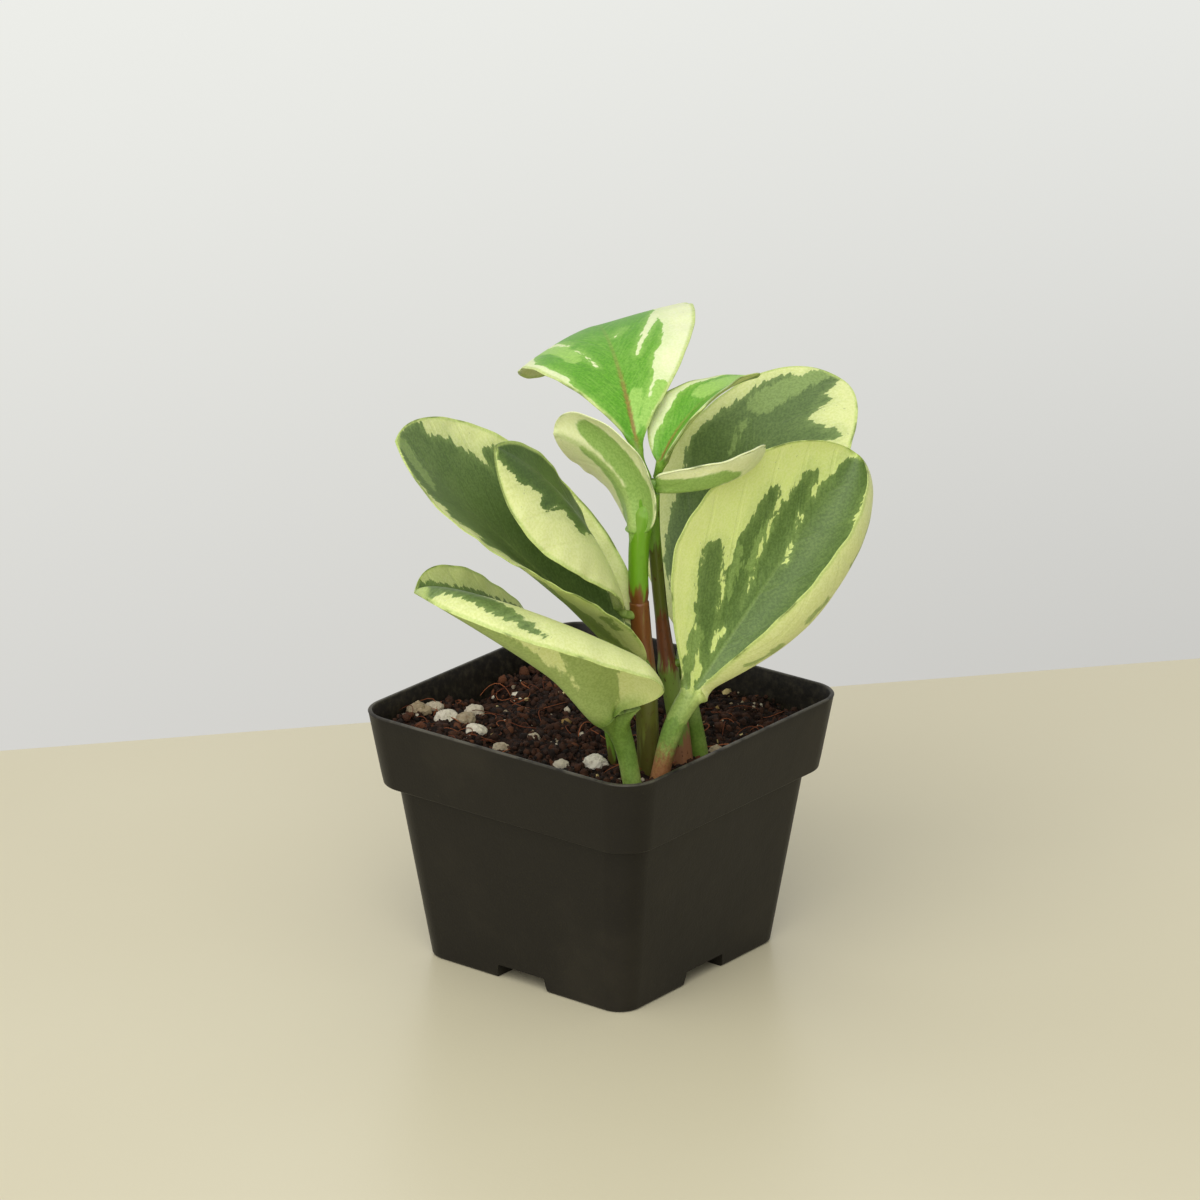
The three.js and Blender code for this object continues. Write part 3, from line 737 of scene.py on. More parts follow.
@dataclass(frozen=True)
class Leaf:
    """A leaf, stalk and blade in one closed body.

    The midrib leaves base along an azimuth (0 right, 90 away) and a rise, which change by turn and droop on the
    way to the tip. roll and twist tilt the blade about it. Each half has a width, and at the base and the tip a
    fold up from the midrib and a curl towards its edge.
    """

    name: str
    node: str
    slot: str
    source: Point
    radius: float
    throat: float
    base: Point
    azimuth: float
    turn: float
    rise: float
    droop: float
    length: float
    roll: float
    twist: float
    width: Pair
    widest: float
    open: float
    blunt: float
    fold: tuple[Pair, Pair]
    curl: tuple[Pair, Pair]
    skin: LeafSkin
    markings: tuple[Stroke, ...] = ()
    spreads: bool = False
    leans: bool = False
    open_right: float = 0.0
    wave: float = 0.25
    blade: Blade = field(default_factory=Blade)

    def axes(self, s: Array) -> tuple[Array, Array, Array]:
        """Direction, upward normal and left-hand way of the midrib.

        The direction has the azimuth and the rise at s; the normal is the one straight above it, turned about
        the direction by the roll.

        Args:
            s: shares of the length.

        Returns:
            Three arrays of unit vectors, one for each share.
        """
        a = np.radians(self.azimuth + self.turn * s)
        e = np.radians(self.rise + self.droop * s)
        along = np.stack([np.cos(e) * np.cos(a), np.cos(e) * np.sin(a), np.sin(e)], -1)
        above = np.stack([-np.sin(e) * np.cos(a), -np.sin(e) * np.sin(a), np.cos(e)], -1)
        r = np.radians(self.roll + self.twist * s)[:, None]
        normal = above * np.cos(r) - np.cross(along, above) * np.sin(r)
        return along, normal, np.cross(normal, along)

    def midrib(self, s: Array) -> Array:
        """Points of the midrib: the base plus the length times the sum of its direction up to s."""
        grid = np.linspace(0.0, 1.0, 801)
        along, _, _ = self.axes((grid[1:] + grid[:-1]) / 2)
        line = np.vstack([np.zeros(3), np.cumsum(along * self.length / 800, axis=0)]) + np.array(self.base)
        return np.stack([np.interp(s, grid, line[:, k]) for k in range(3)], -1)

    def share(self, s: Array, on_left: Array | bool = True) -> Array:
        """Share of the half width: it opens as a bow up to the widest place, then rounds to the tip.

        Args:
            s: shares of the length.
            on_left: whether each place is on the left half, which may open in its own way.

        Returns:
            Shares from 0 to 1.
        """
        rise = np.clip(s / self.widest, 0.0, 1.0)
        fall = np.clip((1.0 - s) / (1.0 - self.widest), 0.0, 1.0)
        opening = np.where(on_left, self.open, self.open_right or self.open)
        return np.where(s < self.widest, (1 - (1 - rise) ** 2) ** opening,
                        (1 - np.abs(1 - fall) ** 2.2) ** self.blunt)

    def section(self, s: Array, angle: Array, centre: Array) -> dict[str, Array]:
        """Sections of the blade: a thin lens bent along the folded and curled halves, with a rib below.

        Going round by angle, the share t of the half width is the cosine with its middle drawn in, and the
        lens's height is the root of the sine. A half's slope is its fold, eased in over the crease, plus its
        curl times t; its reach and lift are the running sums of the slope's cosine and sine.

        Args:
            s: shares of the length.
            angle: angles round the section.
            centre: the midrib's point at each s.

        Returns:
            The points under "points", and for each the share t, the millimetres from the midrib, and the sine.
        """
        b = self.blade
        _, normal, left = self.axes(s)
        s, angle = s[:, None], angle[None, :]
        share = self.share(s)
        flat = np.maximum(smooth(*b.flat_over, max(self.width) * share / self.throat), smooth(*b.flat_by, s))
        half = b.half * (1 - b.thinning * s)
        neck = (self.throat - half) * (1 - smooth(0, b.neck, s))
        rib = neck + b.rib * self.length * np.clip(1 - s, 0, 1) ** 1.2
        rib_width = lerp(self.throat, b.rib_width, smooth(0, b.neck, s))
        across, k = np.cos(angle), np.sin(angle)
        t = np.sign(across) * np.abs(across) ** (1 + 0.5 * flat)
        on_left = t >= 0
        full = np.where(on_left, self.width[0], self.width[1])
        spread = full * self.share(s, on_left)
        width = np.sqrt(spread**2 + (self.throat * (1 - smooth(0, b.throat, s))) ** 2 + 0.09)
        fold, curl = (np.radians(np.where(on_left, lerp(*ends[0], s), lerp(*ends[1], s))) * flat
                      for ends in (self.fold, self.curl))

        def slope_at(u: Array) -> Array:
            """Slope of a half at a share of its width."""
            return fold * (1 - np.exp(-((u / b.crease) ** 2))) + curl * u

        reach, lift = np.zeros(t.shape), np.zeros(t.shape)
        for step in range(b.bends):
            slope = slope_at((step + 0.5) / b.bends * np.abs(t))
            reach += np.cos(slope) * np.abs(t) / b.bends
            lift += np.sin(slope) * np.abs(t) / b.bends
        slope = slope_at(np.abs(t))
        from_rib = t * width
        below = np.where(k < -0.01, rib * np.exp(-((from_rib / rib_width) ** 2)), 0.0)
        dip = np.where(k > 0.01, b.groove * flat * np.exp(-((from_rib / b.groove_width) ** 2)) * (1 - s), 0.0)
        near_edge = smooth(b.margin, 1.0, np.abs(t)) * smooth(*b.wave_start, s) * smooth(*b.wave_end, s)
        slow, quick = (rate * self.length * s for rate in b.wave_rates)
        ripple = self.wave * flat * near_edge * (np.sin(slow + 2.0 * np.sign(t)) + 0.6 * np.sin(quick + np.sign(t)))
        lens = half * np.sign(k) * np.abs(k) ** 0.5 - below - dip + ripple
        shell = lerp(self.throat * k, lens, flat)
        side = np.where(on_left, 1.0, -1.0)
        sideways = np.sign(t) * width * reach - side * shell * np.sin(slope)
        upwards = width * lift + shell * np.cos(slope)
        points = centre[:, None] + left[:, None] * sideways[..., None] + normal[:, None] * upwards[..., None]
        return {"points": points, "t": t, "from_rib": from_rib, "width": width, "sine": k + 0 * t}

    def stalk(self, angle: Array) -> tuple[Array, Array]:
        """Rings of the stalk: circles along a Bezier line from the stem or the mix to the base of the blade.

        Args:
            angle: angles round each ring.

        Returns:
            The rings' points, and each ring's share of the way up.
        """
        start, end = np.array(self.source), np.array(self.base)
        pull = np.linalg.norm(end - start) * self.blade.pull
        upright = start[2] < self.blade.soil_level and not self.leans
        lead = np.array([0.0, 0.0, 1.0]) if upright else unit(end - start)
        along, _, left = self.axes(np.zeros(1))
        count = self.blade.stalk_rings
        share = 1 - (1 - np.arange(count) / count) ** 1.5
        line, way = bezier(np.array([start, start + lead * pull, end - along[0] * pull, end]), share)
        first = unit(left - way * (way @ left[0])[:, None])
        second = np.cross(way, first)
        radius = lerp(self.radius, self.throat, share**3)[:, None, None]
        rings = line[:, None] + radius * (first[:, None] * np.cos(angle)[None, :, None]
                                          + second[:, None] * np.sin(angle)[None, :, None])
        if self.spreads:
            mouth = self.section(np.array([0.02]), angle, np.zeros((1, 3)))["points"]
            towards = np.clip(2 * share - 1, 0, 1) ** 4
            rings = lerp(rings, line[:, None] + mouth, towards[:, None, None])
        return rings, share

    def tone(self, tone: Tone, s: Array, t: Array) -> Array:
        """Millimetres inside the patches of a tone: the largest of breadth less distance over its strokes.

        Args:
            tone: the tone to look for.
            s: shares of the length.
            t: shares of the half width.

        Returns:
            Distance at each point, above zero inside.
        """
        def flatten(a: Array, b: Array) -> tuple[Array, Array]:
            """Lengths along and across the flattened blade."""
            return a * self.length, b * self.share(a, b >= 0) * np.where(b >= 0, self.width[0], self.width[1])

        x, y = flatten(s, t)
        best = np.full(x.shape, -30.0)
        for stroke in (m for m in self.markings if m.tone is tone):
            (x0, y0), (x1, y1) = (flatten(np.array(p[0]), np.array(p[1])) for p in (stroke.start, stroke.end))
            run, climb = x1 - x0, y1 - y0
            h = np.clip(((x - x0) * run + (y - y0) * climb) / max(run**2 + climb**2, 1e-6), 0, 1)
            away = np.hypot(x - x0 - h * run, y - y0 - h * climb)
            best = np.maximum(best, lerp(*stroke.reach, h) - away)
        return best

    def build(self, place: Place) -> bpy.types.Object:
        """Makes the leaf's mesh, with the numbers that its skin reads.

        Args:
            place: where the plant stands.

        Returns:
            The object.
        """
        b = self.blade
        angle = np.arange(b.sides) / b.sides * 2 * np.pi
        s = (1 - np.cos(np.arange(b.rings + 1) / b.rings * np.pi)) / 2
        if self.spreads:
            s = s[1:]
        blade = self.section(s, angle, self.midrib(s))
        stalk, climb = self.stalk(angle)
        rings = np.concatenate([stalk, blade["points"]])
        grid_s = s[:, None] + 0 * blade["t"]
        cream = self.tone(Tone.CREAM, grid_s, blade["t"])
        edge = (1 - np.abs(blade["t"])) * blade["width"] * smooth(0.0, 0.1, grid_s) + 3 * smooth(0.1, 0.0, grid_s)
        tip = (1 - grid_s) * self.length
        marks = {
            "green": np.minimum(self.tone(Tone.GREEN, grid_s, blade["t"]), -cream),
            "pale": self.tone(Tone.PALE, grid_s, blade["t"]),
            "edge": np.minimum(edge, tip),
            "under": smooth(0.25, -0.25, blade["sine"]),
            "rib": np.abs(blade["from_rib"]),
            "along": grid_s,
            "stalk": smooth(0.06, 0.0, grid_s) * 0.8,
        }
        rest = {"green": 4.0, "pale": -4.0, "edge": 3.0, "under": 0.0, "rib": 3.0, "along": 0.0, "stalk": 1.0}
        whole = {}
        for key, values in marks.items():
            low = np.full((len(climb), b.sides), rest[key])
            if key == "stalk":
                low = lerp(1.0, float(values[0].mean()), climb[:, None]) + 0 * low
            elif key in ("green", "pale", "under"):
                low = lerp(rest[key], values[0][None, :], smooth(0.6, 1.0, climb)[:, None]) + 0 * low
            joined = np.concatenate([low, values])
            whole[key] = np.append(joined.ravel(), [joined[0].mean(), joined[-1].mean()])
        slant = np.radians(b.flow_slant)
        x, y = grid_s * self.length, np.abs(blade["from_rib"])
        stalk_x = (climb[:, None] - 1.0) * 40 + 0 * stalk[..., 0]
        along = np.concatenate([stalk_x, x * np.cos(slant) + y * np.sin(slant)])
        across = np.concatenate([3.0 * np.cos(angle)[None] + 0 * stalk_x, x * np.sin(slant) - y * np.cos(slant)])
        flow = with_hubs(np.stack([along, across], -1) * b.flow_scale)
        piece = make_piece(self.name, place.row(with_hubs(rings)), ring_faces(len(rings), b.sides),
                           self.skin.material(), whole, flow)
        dress(piece, self.node)
        return piece


# ---------------------------------------------------------------- stems

@dataclass(frozen=True)
class Stem:
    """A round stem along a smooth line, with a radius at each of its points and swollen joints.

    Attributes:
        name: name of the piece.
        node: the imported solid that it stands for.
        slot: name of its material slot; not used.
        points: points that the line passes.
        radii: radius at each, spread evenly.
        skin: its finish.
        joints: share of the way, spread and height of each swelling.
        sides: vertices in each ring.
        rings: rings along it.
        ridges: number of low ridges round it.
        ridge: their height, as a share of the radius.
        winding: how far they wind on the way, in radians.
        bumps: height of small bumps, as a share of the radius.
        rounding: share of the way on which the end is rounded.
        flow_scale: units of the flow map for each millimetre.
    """

    name: str
    node: str
    slot: str
    points: tuple[Point, ...]
    radii: tuple[float, ...]
    skin: StemSkin
    joints: tuple[tuple[float, float, float], ...] = ()
    sides: int = 40
    rings: int = 110
    ridges: int = 5
    ridge: float = 0.02
    winding: float = 9.0
    bumps: float = 0.015
    rounding: float = 0.015
    flow_scale: float = 0.06

    def build(self, place: Place) -> bpy.types.Object:
        """Makes the stem's mesh: circles across the line, the radius blended between its points, with a bell of
        extra radius at each joint and a little noise.

        Args:
            place: where the plant stands.

        Returns:
            The object.
        """
        share = np.linspace(0, 1, self.rings)
        line, ahead, behind = (catmull(np.array(self.points), np.clip(share + step, 0, 1)) for step in (0, 1e-3, -1e-3))
        way = unit(ahead - behind)
        radius = np.interp(share * (len(self.radii) - 1), np.arange(len(self.radii)), self.radii)
        for at, spread, height in self.joints:
            radius = radius + height * np.exp(-(((share - at) / spread) ** 2))
        end = (1 - share) / self.rounding
        radius = radius * np.where(end < 1, np.sqrt(np.clip(end, 0.15, 1)), 1)
        angle = np.arange(self.sides) / self.sides * 2 * np.pi
        first = unit(np.array([[1.0, 0.0, 0.0]]) - way * way[:, :1])
        second = np.cross(way, first)
        spoke = first[:, None] * np.cos(angle)[None, :, None] + second[:, None] * np.sin(angle)[None, :, None]
        ribs = 1 + self.ridge * np.cos(self.ridges * angle + self.winding * share[:, None])
        ribs = ribs + self.bumps * cloud(spoke * 2 + line[:, None] / 9, 1, 3)
        rings = line[:, None] + spoke * (radius[:, None] * ribs)[..., None]
        length = np.append(0, np.cumsum(np.linalg.norm(np.diff(line, axis=0), axis=1)))
        flow = np.stack([np.cos(angle)[None] + 0 * ribs, (length * self.flow_scale)[:, None] + 0 * ribs], -1)
        piece = make_piece(self.name, place.row(with_hubs(rings)), ring_faces(self.rings, self.sides),
                           self.skin.material(), None, with_hubs(flow))
        dress(piece, self.node)
        return piece


# ---------------------------------------------------------------- pot

def rounded_square(width: Array, corner: Array, height: Array, steps: int, side: int) -> Array:
    """Rings round squares with rounded corners: four quarter circles joined by straight runs.

    Args:
        width: outer width of each ring.
        corner: its corner radius.
        height: its height.
        steps: steps in each corner.
        side: steps along each straight side.

    Returns:
        Points, rings by points by 3, counter-clockwise from above.
    """
    quarter = np.linspace(0, np.pi / 2, steps + 1)
    turns = (np.arange(4) * np.pi / 2)[:, None]
    angle = np.concatenate([turns + quarter, np.repeat(turns + np.pi / 2, side - 1, 1)], 1)
    run = np.concatenate([np.zeros(steps + 1), np.arange(1, side) / side])[None, :] + 0 * angle
    middle = np.pi / 4 + turns
    sx, sy = np.sign(np.cos(middle)), np.sign(np.sin(middle))
    nx, ny = np.sign(np.cos(middle + np.pi / 2)), np.sign(np.sin(middle + np.pi / 2))
    reach = (np.asarray(width) / 2 - corner)[:, None, None]
    c = np.asarray(corner)[:, None, None]
    x = reach * lerp(sx, nx, run) + c * np.cos(angle)
    y = reach * lerp(sy, ny, run) + c * np.sin(angle)
    z = np.asarray(height, float)[:, None, None] + 0 * x
    return np.stack([x, y, z], -1).reshape(len(np.atleast_1d(width)), -1, 3)


@dataclass(frozen=True)
class Pot:
    """Square nursery pot: a deep rim band over a tapering wall, a raised cross under the floor, drain holes.

    Lengths are millimetres and widths are across the flat sides. A name with corner in it is a corner's radius.

    Attributes:
        height: height of the pot.
        top: outer width at the rim.
        collar: depth of the rim band.
        collar_foot: outer width at the band's lower edge.
        body: outer width of the wall under the band.
        base: outer width at the foot.
        foot: radius of the rounded foot.
        wall: thickness of the wall.
        floor: thickness of the floor.
        channel: width of the cross's bars, at their top.
        flare: how much wider each side of a bar is at its foot.
        channel_height: height of the cross.
        bar_reach: half the length of the cutters, longer than the pot is wide.
        hole: radius of a drain hole.
        hole_ring: distance of the outer holes from the middle.
        hole_sides: sides of a hole.
        seam: width and height of the fillet under the band.
        edge: how far the band's lower edge is rounded in.
        edge_drop: how far that edge reaches below the band's height.
        edge_rise: how far its rounding reaches above it.
        lip: height of the rounding on top of the rim.
        sharp: angle in degrees past which an edge stays sharp.
        corner_steps: steps in each corner.
        side_steps: steps along each side.
    """

    height: float = 75.0
    top: float = 100.0
    top_corner: float = 11.0
    collar: float = 22.0
    collar_foot: float = 93.4
    collar_corner: float = 9.6
    body: float = 87.2
    body_corner: float = 9.5
    base: float = 73.0
    base_corner: float = 7.0
    foot: float = 1.2
    wall: float = 1.3
    floor: float = 1.5
    channel: float = 16.4
    flare: float = 1.0
    channel_height: float = 4.3
    bar_reach: float = 60.0
    hole: float = 4.0
    hole_ring: float = 21.0
    hole_sides: int = 40
    seam: float = 0.5
    edge: float = 1.2
    edge_drop: float = 0.15
    edge_rise: float = 0.45
    lip: float = 0.55
    sharp: float = 35.0
    corner_steps: int = 18
    side_steps: int = 10

    @property
    def band(self) -> float:
        """Height of the band's lower edge."""
        return self.height - self.collar

    def outer_width(self, z: Array) -> Array:
        """Outer width at a height: straight tapers below and along the band."""
        low = np.interp(z, [self.foot, self.band], [self.base, self.body])
        return np.where(z < self.band, low, np.interp(z, [self.band, self.height], [self.collar_foot, self.top]))

    def corner(self, z: Array) -> Array:
        """Outer corner radius at a height, straight from the base to the top."""
        return np.interp(z, [0, self.height], [self.base_corner, self.top_corner])

    def outside(self) -> Array:
        """Rings of the outer form, from the rounded foot over the band's rounded edges to the lip's inner side.

        The foot, the band's lower edge and the lip are quarter circles or quarter ovals, with a short fillet under
        the band, and the wall and the band between them are straight.

        Returns:
            Points, rings by points by 3.
        """
        turn = np.linspace(0, np.pi / 2, 7)
        rise, run = 1 - np.cos(turn), 1 - np.sin(turn)
        wall_z = np.linspace(self.foot, self.band - self.seam, 9)[1:]
        up_wall = (wall_z - self.foot) / (self.band - self.foot)
        up_fillet = np.linspace(0, np.pi / 2, 5)
        edge_low, edge_high = self.band - self.edge_drop, self.band + self.edge_rise
        band_z = np.linspace(edge_high, self.height - self.lip, 8)[1:]
        up_band = (band_z - self.band) / (self.height - self.band)
        parts = (
            (self.base - 2 * self.foot * run, self.base_corner - self.foot * run, self.foot * rise),
            (lerp(self.base, self.body, up_wall), lerp(self.base_corner, self.body_corner, up_wall), wall_z),
            (np.interp(up_fillet, [0, np.pi / 2], [self.body + self.seam, self.collar_foot - self.edge]),
             np.full(5, self.collar_corner - 0.8), self.band - 0.35 + 0.2 * np.sin(up_fillet)),
            (self.collar_foot - self.edge * run[1:], np.full(6, self.collar_corner),
             edge_low + (self.edge_drop + self.edge_rise) * rise[1:]),
            (lerp(self.collar_foot, self.top, up_band), lerp(self.collar_corner, self.top_corner, up_band), band_z),
            (self.top - 0.15 - rise[1:], np.full(6, self.top_corner - 0.4),
             self.height - self.lip + self.lip * np.sin(turn[1:])),
        )
        width, corner, height = (np.concatenate(column) for column in zip(*parts))
        return rounded_square(width, corner, height, self.corner_steps, self.side_steps)

    def inside(self) -> Array:
        """Rings of the inner form, from the floor past the band's step to above the lip."""
        z = np.concatenate([[self.floor], np.linspace(self.floor + 1, self.band - 1.2, 6),
                            np.linspace(self.band + 1.6, self.height - 0.5, 6), [self.height, self.height + 1]])
        width = self.outer_width(z) - 2 * self.wall
        width[-2:] += [0.35, 1.6]
        return rounded_square(width, self.corner(z) - self.wall, z, self.corner_steps, self.side_steps)

    def cross(self, width: float, height: float, foot: float) -> list[tuple[Array, list]]:
        """Two crossed bars along the bottom, wider at the foot by the flare, as closed boxes.

        Args:
            width: width of a bar at its top.
            height: height of its top.
            foot: height of its foot.

        Returns:
            Points and faces of each bar.
        """
        half, low = width / 2, width / 2 + self.flare
        shape = np.array([[-low, foot], [low, foot], [half, height], [-half, height]])
        bars = []
        for turn in (0, 1):
            ends = []
            for end in (self.bar_reach, -self.bar_reach):
                x, y = shape[:, 0], np.full(4, end)
                ends.append(np.stack([x, y, shape[:, 1]] if turn == 0 else [-y, x, shape[:, 1]], -1))
            bars.append((with_hubs(np.array(ends)), ring_faces(2, 4)))
        return bars

    def build(self, place: Place, finish: MouldedPlastic) -> bpy.types.Object:
        """Makes the pot: the outer form less the inner one, the cross and the holes.

        Args:
            place: where the pot stands.
            finish: its plastic.

        Returns:
            The object.
        """
        material = finish.material()

        def solid(name: str, points: Array, faces: list) -> bpy.types.Object:
            """A closed body about the pot's axis."""
            return make_piece(name, place.straight(points), faces, material)

        outer, inner = self.outside(), self.inside()
        shell = solid("nursery_pot", with_hubs(outer), ring_faces(len(outer), outer.shape[1]))
        cavity = solid("cavity", with_hubs(inner), ring_faces(len(inner), inner.shape[1]))
        bars = self.cross(self.channel + 2 * self.floor, self.channel_height + self.floor, -1.0)
        for bar in [solid("bar", *bar) for bar in bars]:
            cut(cavity, bar)
        cut(shell, cavity)
        for bar in self.cross(self.channel, self.channel_height, -0.5):
            cut(shell, solid("channel", *bar))
        angle = np.arange(self.hole_sides) / self.hole_sides * 2 * np.pi
        for x, y in ((0, 0), (1, 0), (-1, 0), (0, 1), (0, -1)):
            ends = [np.stack([self.hole * np.cos(angle) + x * self.hole_ring, self.hole * np.sin(angle)
                              + y * self.hole_ring, np.full(self.hole_sides, z)], -1) for z in (1.0, 8.0)]
            cut(shell, solid("hole", with_hubs(np.array(ends)), ring_faces(2, self.hole_sides)))
        shell.data.set_sharp_from_angle(angle=math.radians(self.sharp))
        self.wear(shell.data)
        dress(shell, "pot")
        return shell

    def wear(self, mesh: bpy.types.Mesh) -> None:
        """Marks the lip's edge and the inner side, for the worn line and for the inner side's dust and painted light.

        The inner side is where the distance inwards from the rounded square of the outer wall passes about 1 mm.

        Args:
            mesh: the finished shell.
        """
        co = np.zeros(len(mesh.vertices) * 3)
        mesh.vertices.foreach_get("co", co)
        x, y, z = co.reshape(-1, 3).T / METRES
        corner = self.corner(z)
        flat = self.outer_width(z) / 2 - corner
        x, y = np.abs(x - (x.min() + x.max()) / 2) - flat, np.abs(y - (y.min() + y.max()) / 2) - flat
        away = np.hypot(np.maximum(x, 0), np.maximum(y, 0)) + np.minimum(np.maximum(x, y), 0) - corner
        inside = smooth(-0.75, -1.1, away) * smooth(self.floor, self.floor + 2, z)
        keep_mark(mesh, "lip", smooth(self.height - 0.5, self.height - 0.15, z))
        keep_mark(mesh, "inside", inside)


def cut(body: bpy.types.Object, tool: bpy.types.Object) -> None:
    """Takes one closed body out of another and removes the tool.

    Args:
        body: what is cut.
        tool: the body that cuts.
    """
    step = body.modifiers.new("cut", "BOOLEAN")
    step.object, step.operation, step.solver = tool, "DIFFERENCE", "EXACT"
    bpy.context.view_layer.update()
    result = bpy.data.meshes.new_from_object(body.evaluated_get(bpy.context.evaluated_depsgraph_get()))
    body.modifiers.clear()
    body.data = result
    bpy.data.objects.remove(tool)


# ---------------------------------------------------------------- soil

@dataclass(frozen=True)
class Litter:
    """Small loose lumps of one kind: balls with their own size, stretch, turn and dents.

    Attributes:
        name: name of the piece.
        count: how many are strewn at most.
        size: smallest and largest radius.
        stretch: smallest and largest scale along each axis.
        level: how fine each ball is.
        finish: their finish.
    """

    name: str
    count: int
    size: Pair
    stretch: Pair
    level: int
    finish: Loose


PEAT_CRUMBS = Litter("peat_crumbs", 5200, (0.3, 1.25), (0.6, 1.4), 0,
                     Loose("peat_crumb", tint(16, 9, 5), tint(70, 41, 25)))
BARK_BITS = Litter("bark_bits", 220, (0.4, 1.1), (0.3, 2.6), 1, Loose("bark", tint(40, 22, 14), tint(104, 62, 38)))
HUSK_FLAKES = Litter("husk_flakes", 30, (0.7, 1.5), (0.2, 1.5), 1,
                     Loose("husk", tint(150, 120, 70), tint(226, 208, 150)))
PERLITE_CRUMBS = Litter("perlite_crumbs", 240, (0.25, 0.9), (0.8, 1.25), 1,
                        Loose("perlite_small", tint(150, 132, 104), tint(228, 220, 200), stain=0.5))
FIBRE = Loose("fibre", tint(84, 40, 22), tint(168, 98, 60))
PERLITE = Loose("perlite", tint(168, 150, 120), tint(240, 234, 216), stain=0.45, relief=0.0008)


@dataclass(frozen=True)
class Soil:
    """Peat mix: an uneven surface with a hollow, over a block that fills the pot, crumbs, fibres and grains.

    Attributes:
        level: mean height of the surface.
        left_rise: how much higher it is on the left.
        hollow: place, radius and depth of the hollow.
        lumps: height of the slow waves.
        edge: how much lower the surface is at the wall.
        bottom: height of the block's underside.
        wall: distance of the mix from the pot's outer side.
        rings: rings from the wall to the middle.
        clods: height, size and seed of each layer of roughness.
        surface_corner: corner radius of the surface's outer ring.
        corner_steps: steps in each corner.
        side_steps: steps along each side.
        seed: start of the random numbers.
        strewn: half the width of the square on which loose things are strewn.
        strewn_corner: its corner radius.
        dented: how deep the small lumps are dented.
        fibre_count: how many fibres there are at most.
        fibre_rings: rings along a fibre.
        fibre_sides: sides of a fibre.
        grains: place and radius of each large grain.
    """

    level: float = 66.4
    left_rise: float = 2.6
    hollow: tuple[float, float, float, float] = (-37.0, 27.0, 13.0, 5.0)
    lumps: float = 0.9
    edge: float = 2.2
    bottom: float = 6.3
    wall: float = 1.6
    rings: int = 110
    clods: tuple[tuple[float, float, int], ...] = ((0.9, 5.0, 5), (0.45, 1.6, 9))
    surface_corner: float = 9.2
    corner_steps: int = 14
    side_steps: int = 34
    seed: int = 11
    strewn: float = 45.5
    strewn_corner: float = 9.5
    dented: float = 0.28
    fibre_count: int = 120
    fibre_rings: int = 8
    fibre_sides: int = 5
    grains: tuple[Point, ...] = (
        (-52, 5, 3.1), (-47.5, 9, 2.4), (-44, 3, 3.4), (-38.5, 0, 2.5), (-36, 6, 2.6), (-35.5, -8.5, 2.6),
        (-28, -19, 2.2), (-11.5, -29, 2.2), (-2, -30.5, 3.1), (-19, -12, 1.6), (-7, 21, 2.1),
        (32, -17, 2.2), (19, -16.5, 1.6), (-24, 27, 1.8))

    def height(self, x: Array, y: Array) -> Array:
        """Height of the mix: its level, a rise to the left, less a bell for the hollow, plus slow waves.

        Args:
            x: millimetres to the right in the plant's frame.
            y: millimetres away.

        Returns:
            Heights in millimetres.
        """
        hx, hy, radius, depth = self.hollow
        away = np.hypot(x - hx, y - hy) / radius
        waves = np.sin(0.21 * x + 1.3) * np.cos(0.17 * y - 0.4) + 0.6 * np.sin(0.43 * x - 0.31 * y)
        return self.level + self.left_rise * smooth(0, 50, -x) - depth * np.exp(-away * away) + self.lumps * waves

    def surface(self, pot: Pot, place: Place) -> Array:
        """Rings of the surface, from the wall to the middle: shrinking rounded squares at the mix's height,
        roughened by layers of noise and lower at the wall.

        Args:
            pot: the pot that holds the mix.
            place: where it stands.

        Returns:
            Points, rings by points by 3, along the pot's sides.
        """
        width = pot.outer_width(np.array([self.level]))[0] - 2 * self.wall
        share = 1 - np.arange(self.rings) / self.rings
        ring = rounded_square(np.array([width]), np.array([self.surface_corner]), np.zeros(1), self.corner_steps,
                              self.side_steps)[0]
        flat = ring[None] * share[:, None, None]
        plant = place.to_plant(flat)
        rough = sum(high * cloud(plant, size, seed, 2) for high, size, seed in self.clods)
        rough = rough * smooth(1.0, 0.97, share)[:, None]
        top = self.height(plant[..., 0], plant[..., 1]) - self.edge * smooth(0.85, 1.0, share)[:, None]
        flat[..., 2] = top + rough
        return flat

    def build(self, pot: Pot, place: Place) -> list[bpy.types.Object]:
        """Makes the block of mix and the loose things on it.

        Args:
            pot: the pot that holds it.
            place: where it stands.

        Returns:
            The objects.
        """
        top = self.surface(pot, place)
        z = np.array([self.bottom, 30.0, pot.band - 1.2, pot.band + 1.6, self.level - 4.0])
        walls = rounded_square(pot.outer_width(z) - 2 * self.wall, pot.corner(z) - self.wall, z, self.corner_steps,
                               self.side_steps)
        rings = np.concatenate([walls, top])
        block = make_piece("peat_mix", place.straight(with_hubs(rings)), ring_faces(len(rings), rings.shape[1]),
                           PeatMix().material())
        random = np.random.default_rng(self.seed)
        pieces = [block, *(self.scatter(litter, place, random) for litter in (PEAT_CRUMBS, BARK_BITS, HUSK_FLAKES)),
                  self.fibres(place, random), self.scatter(PERLITE_CRUMBS, place, random), self.large_grains(place)]
        for piece in pieces:
            dress(piece, "soil")
        return pieces

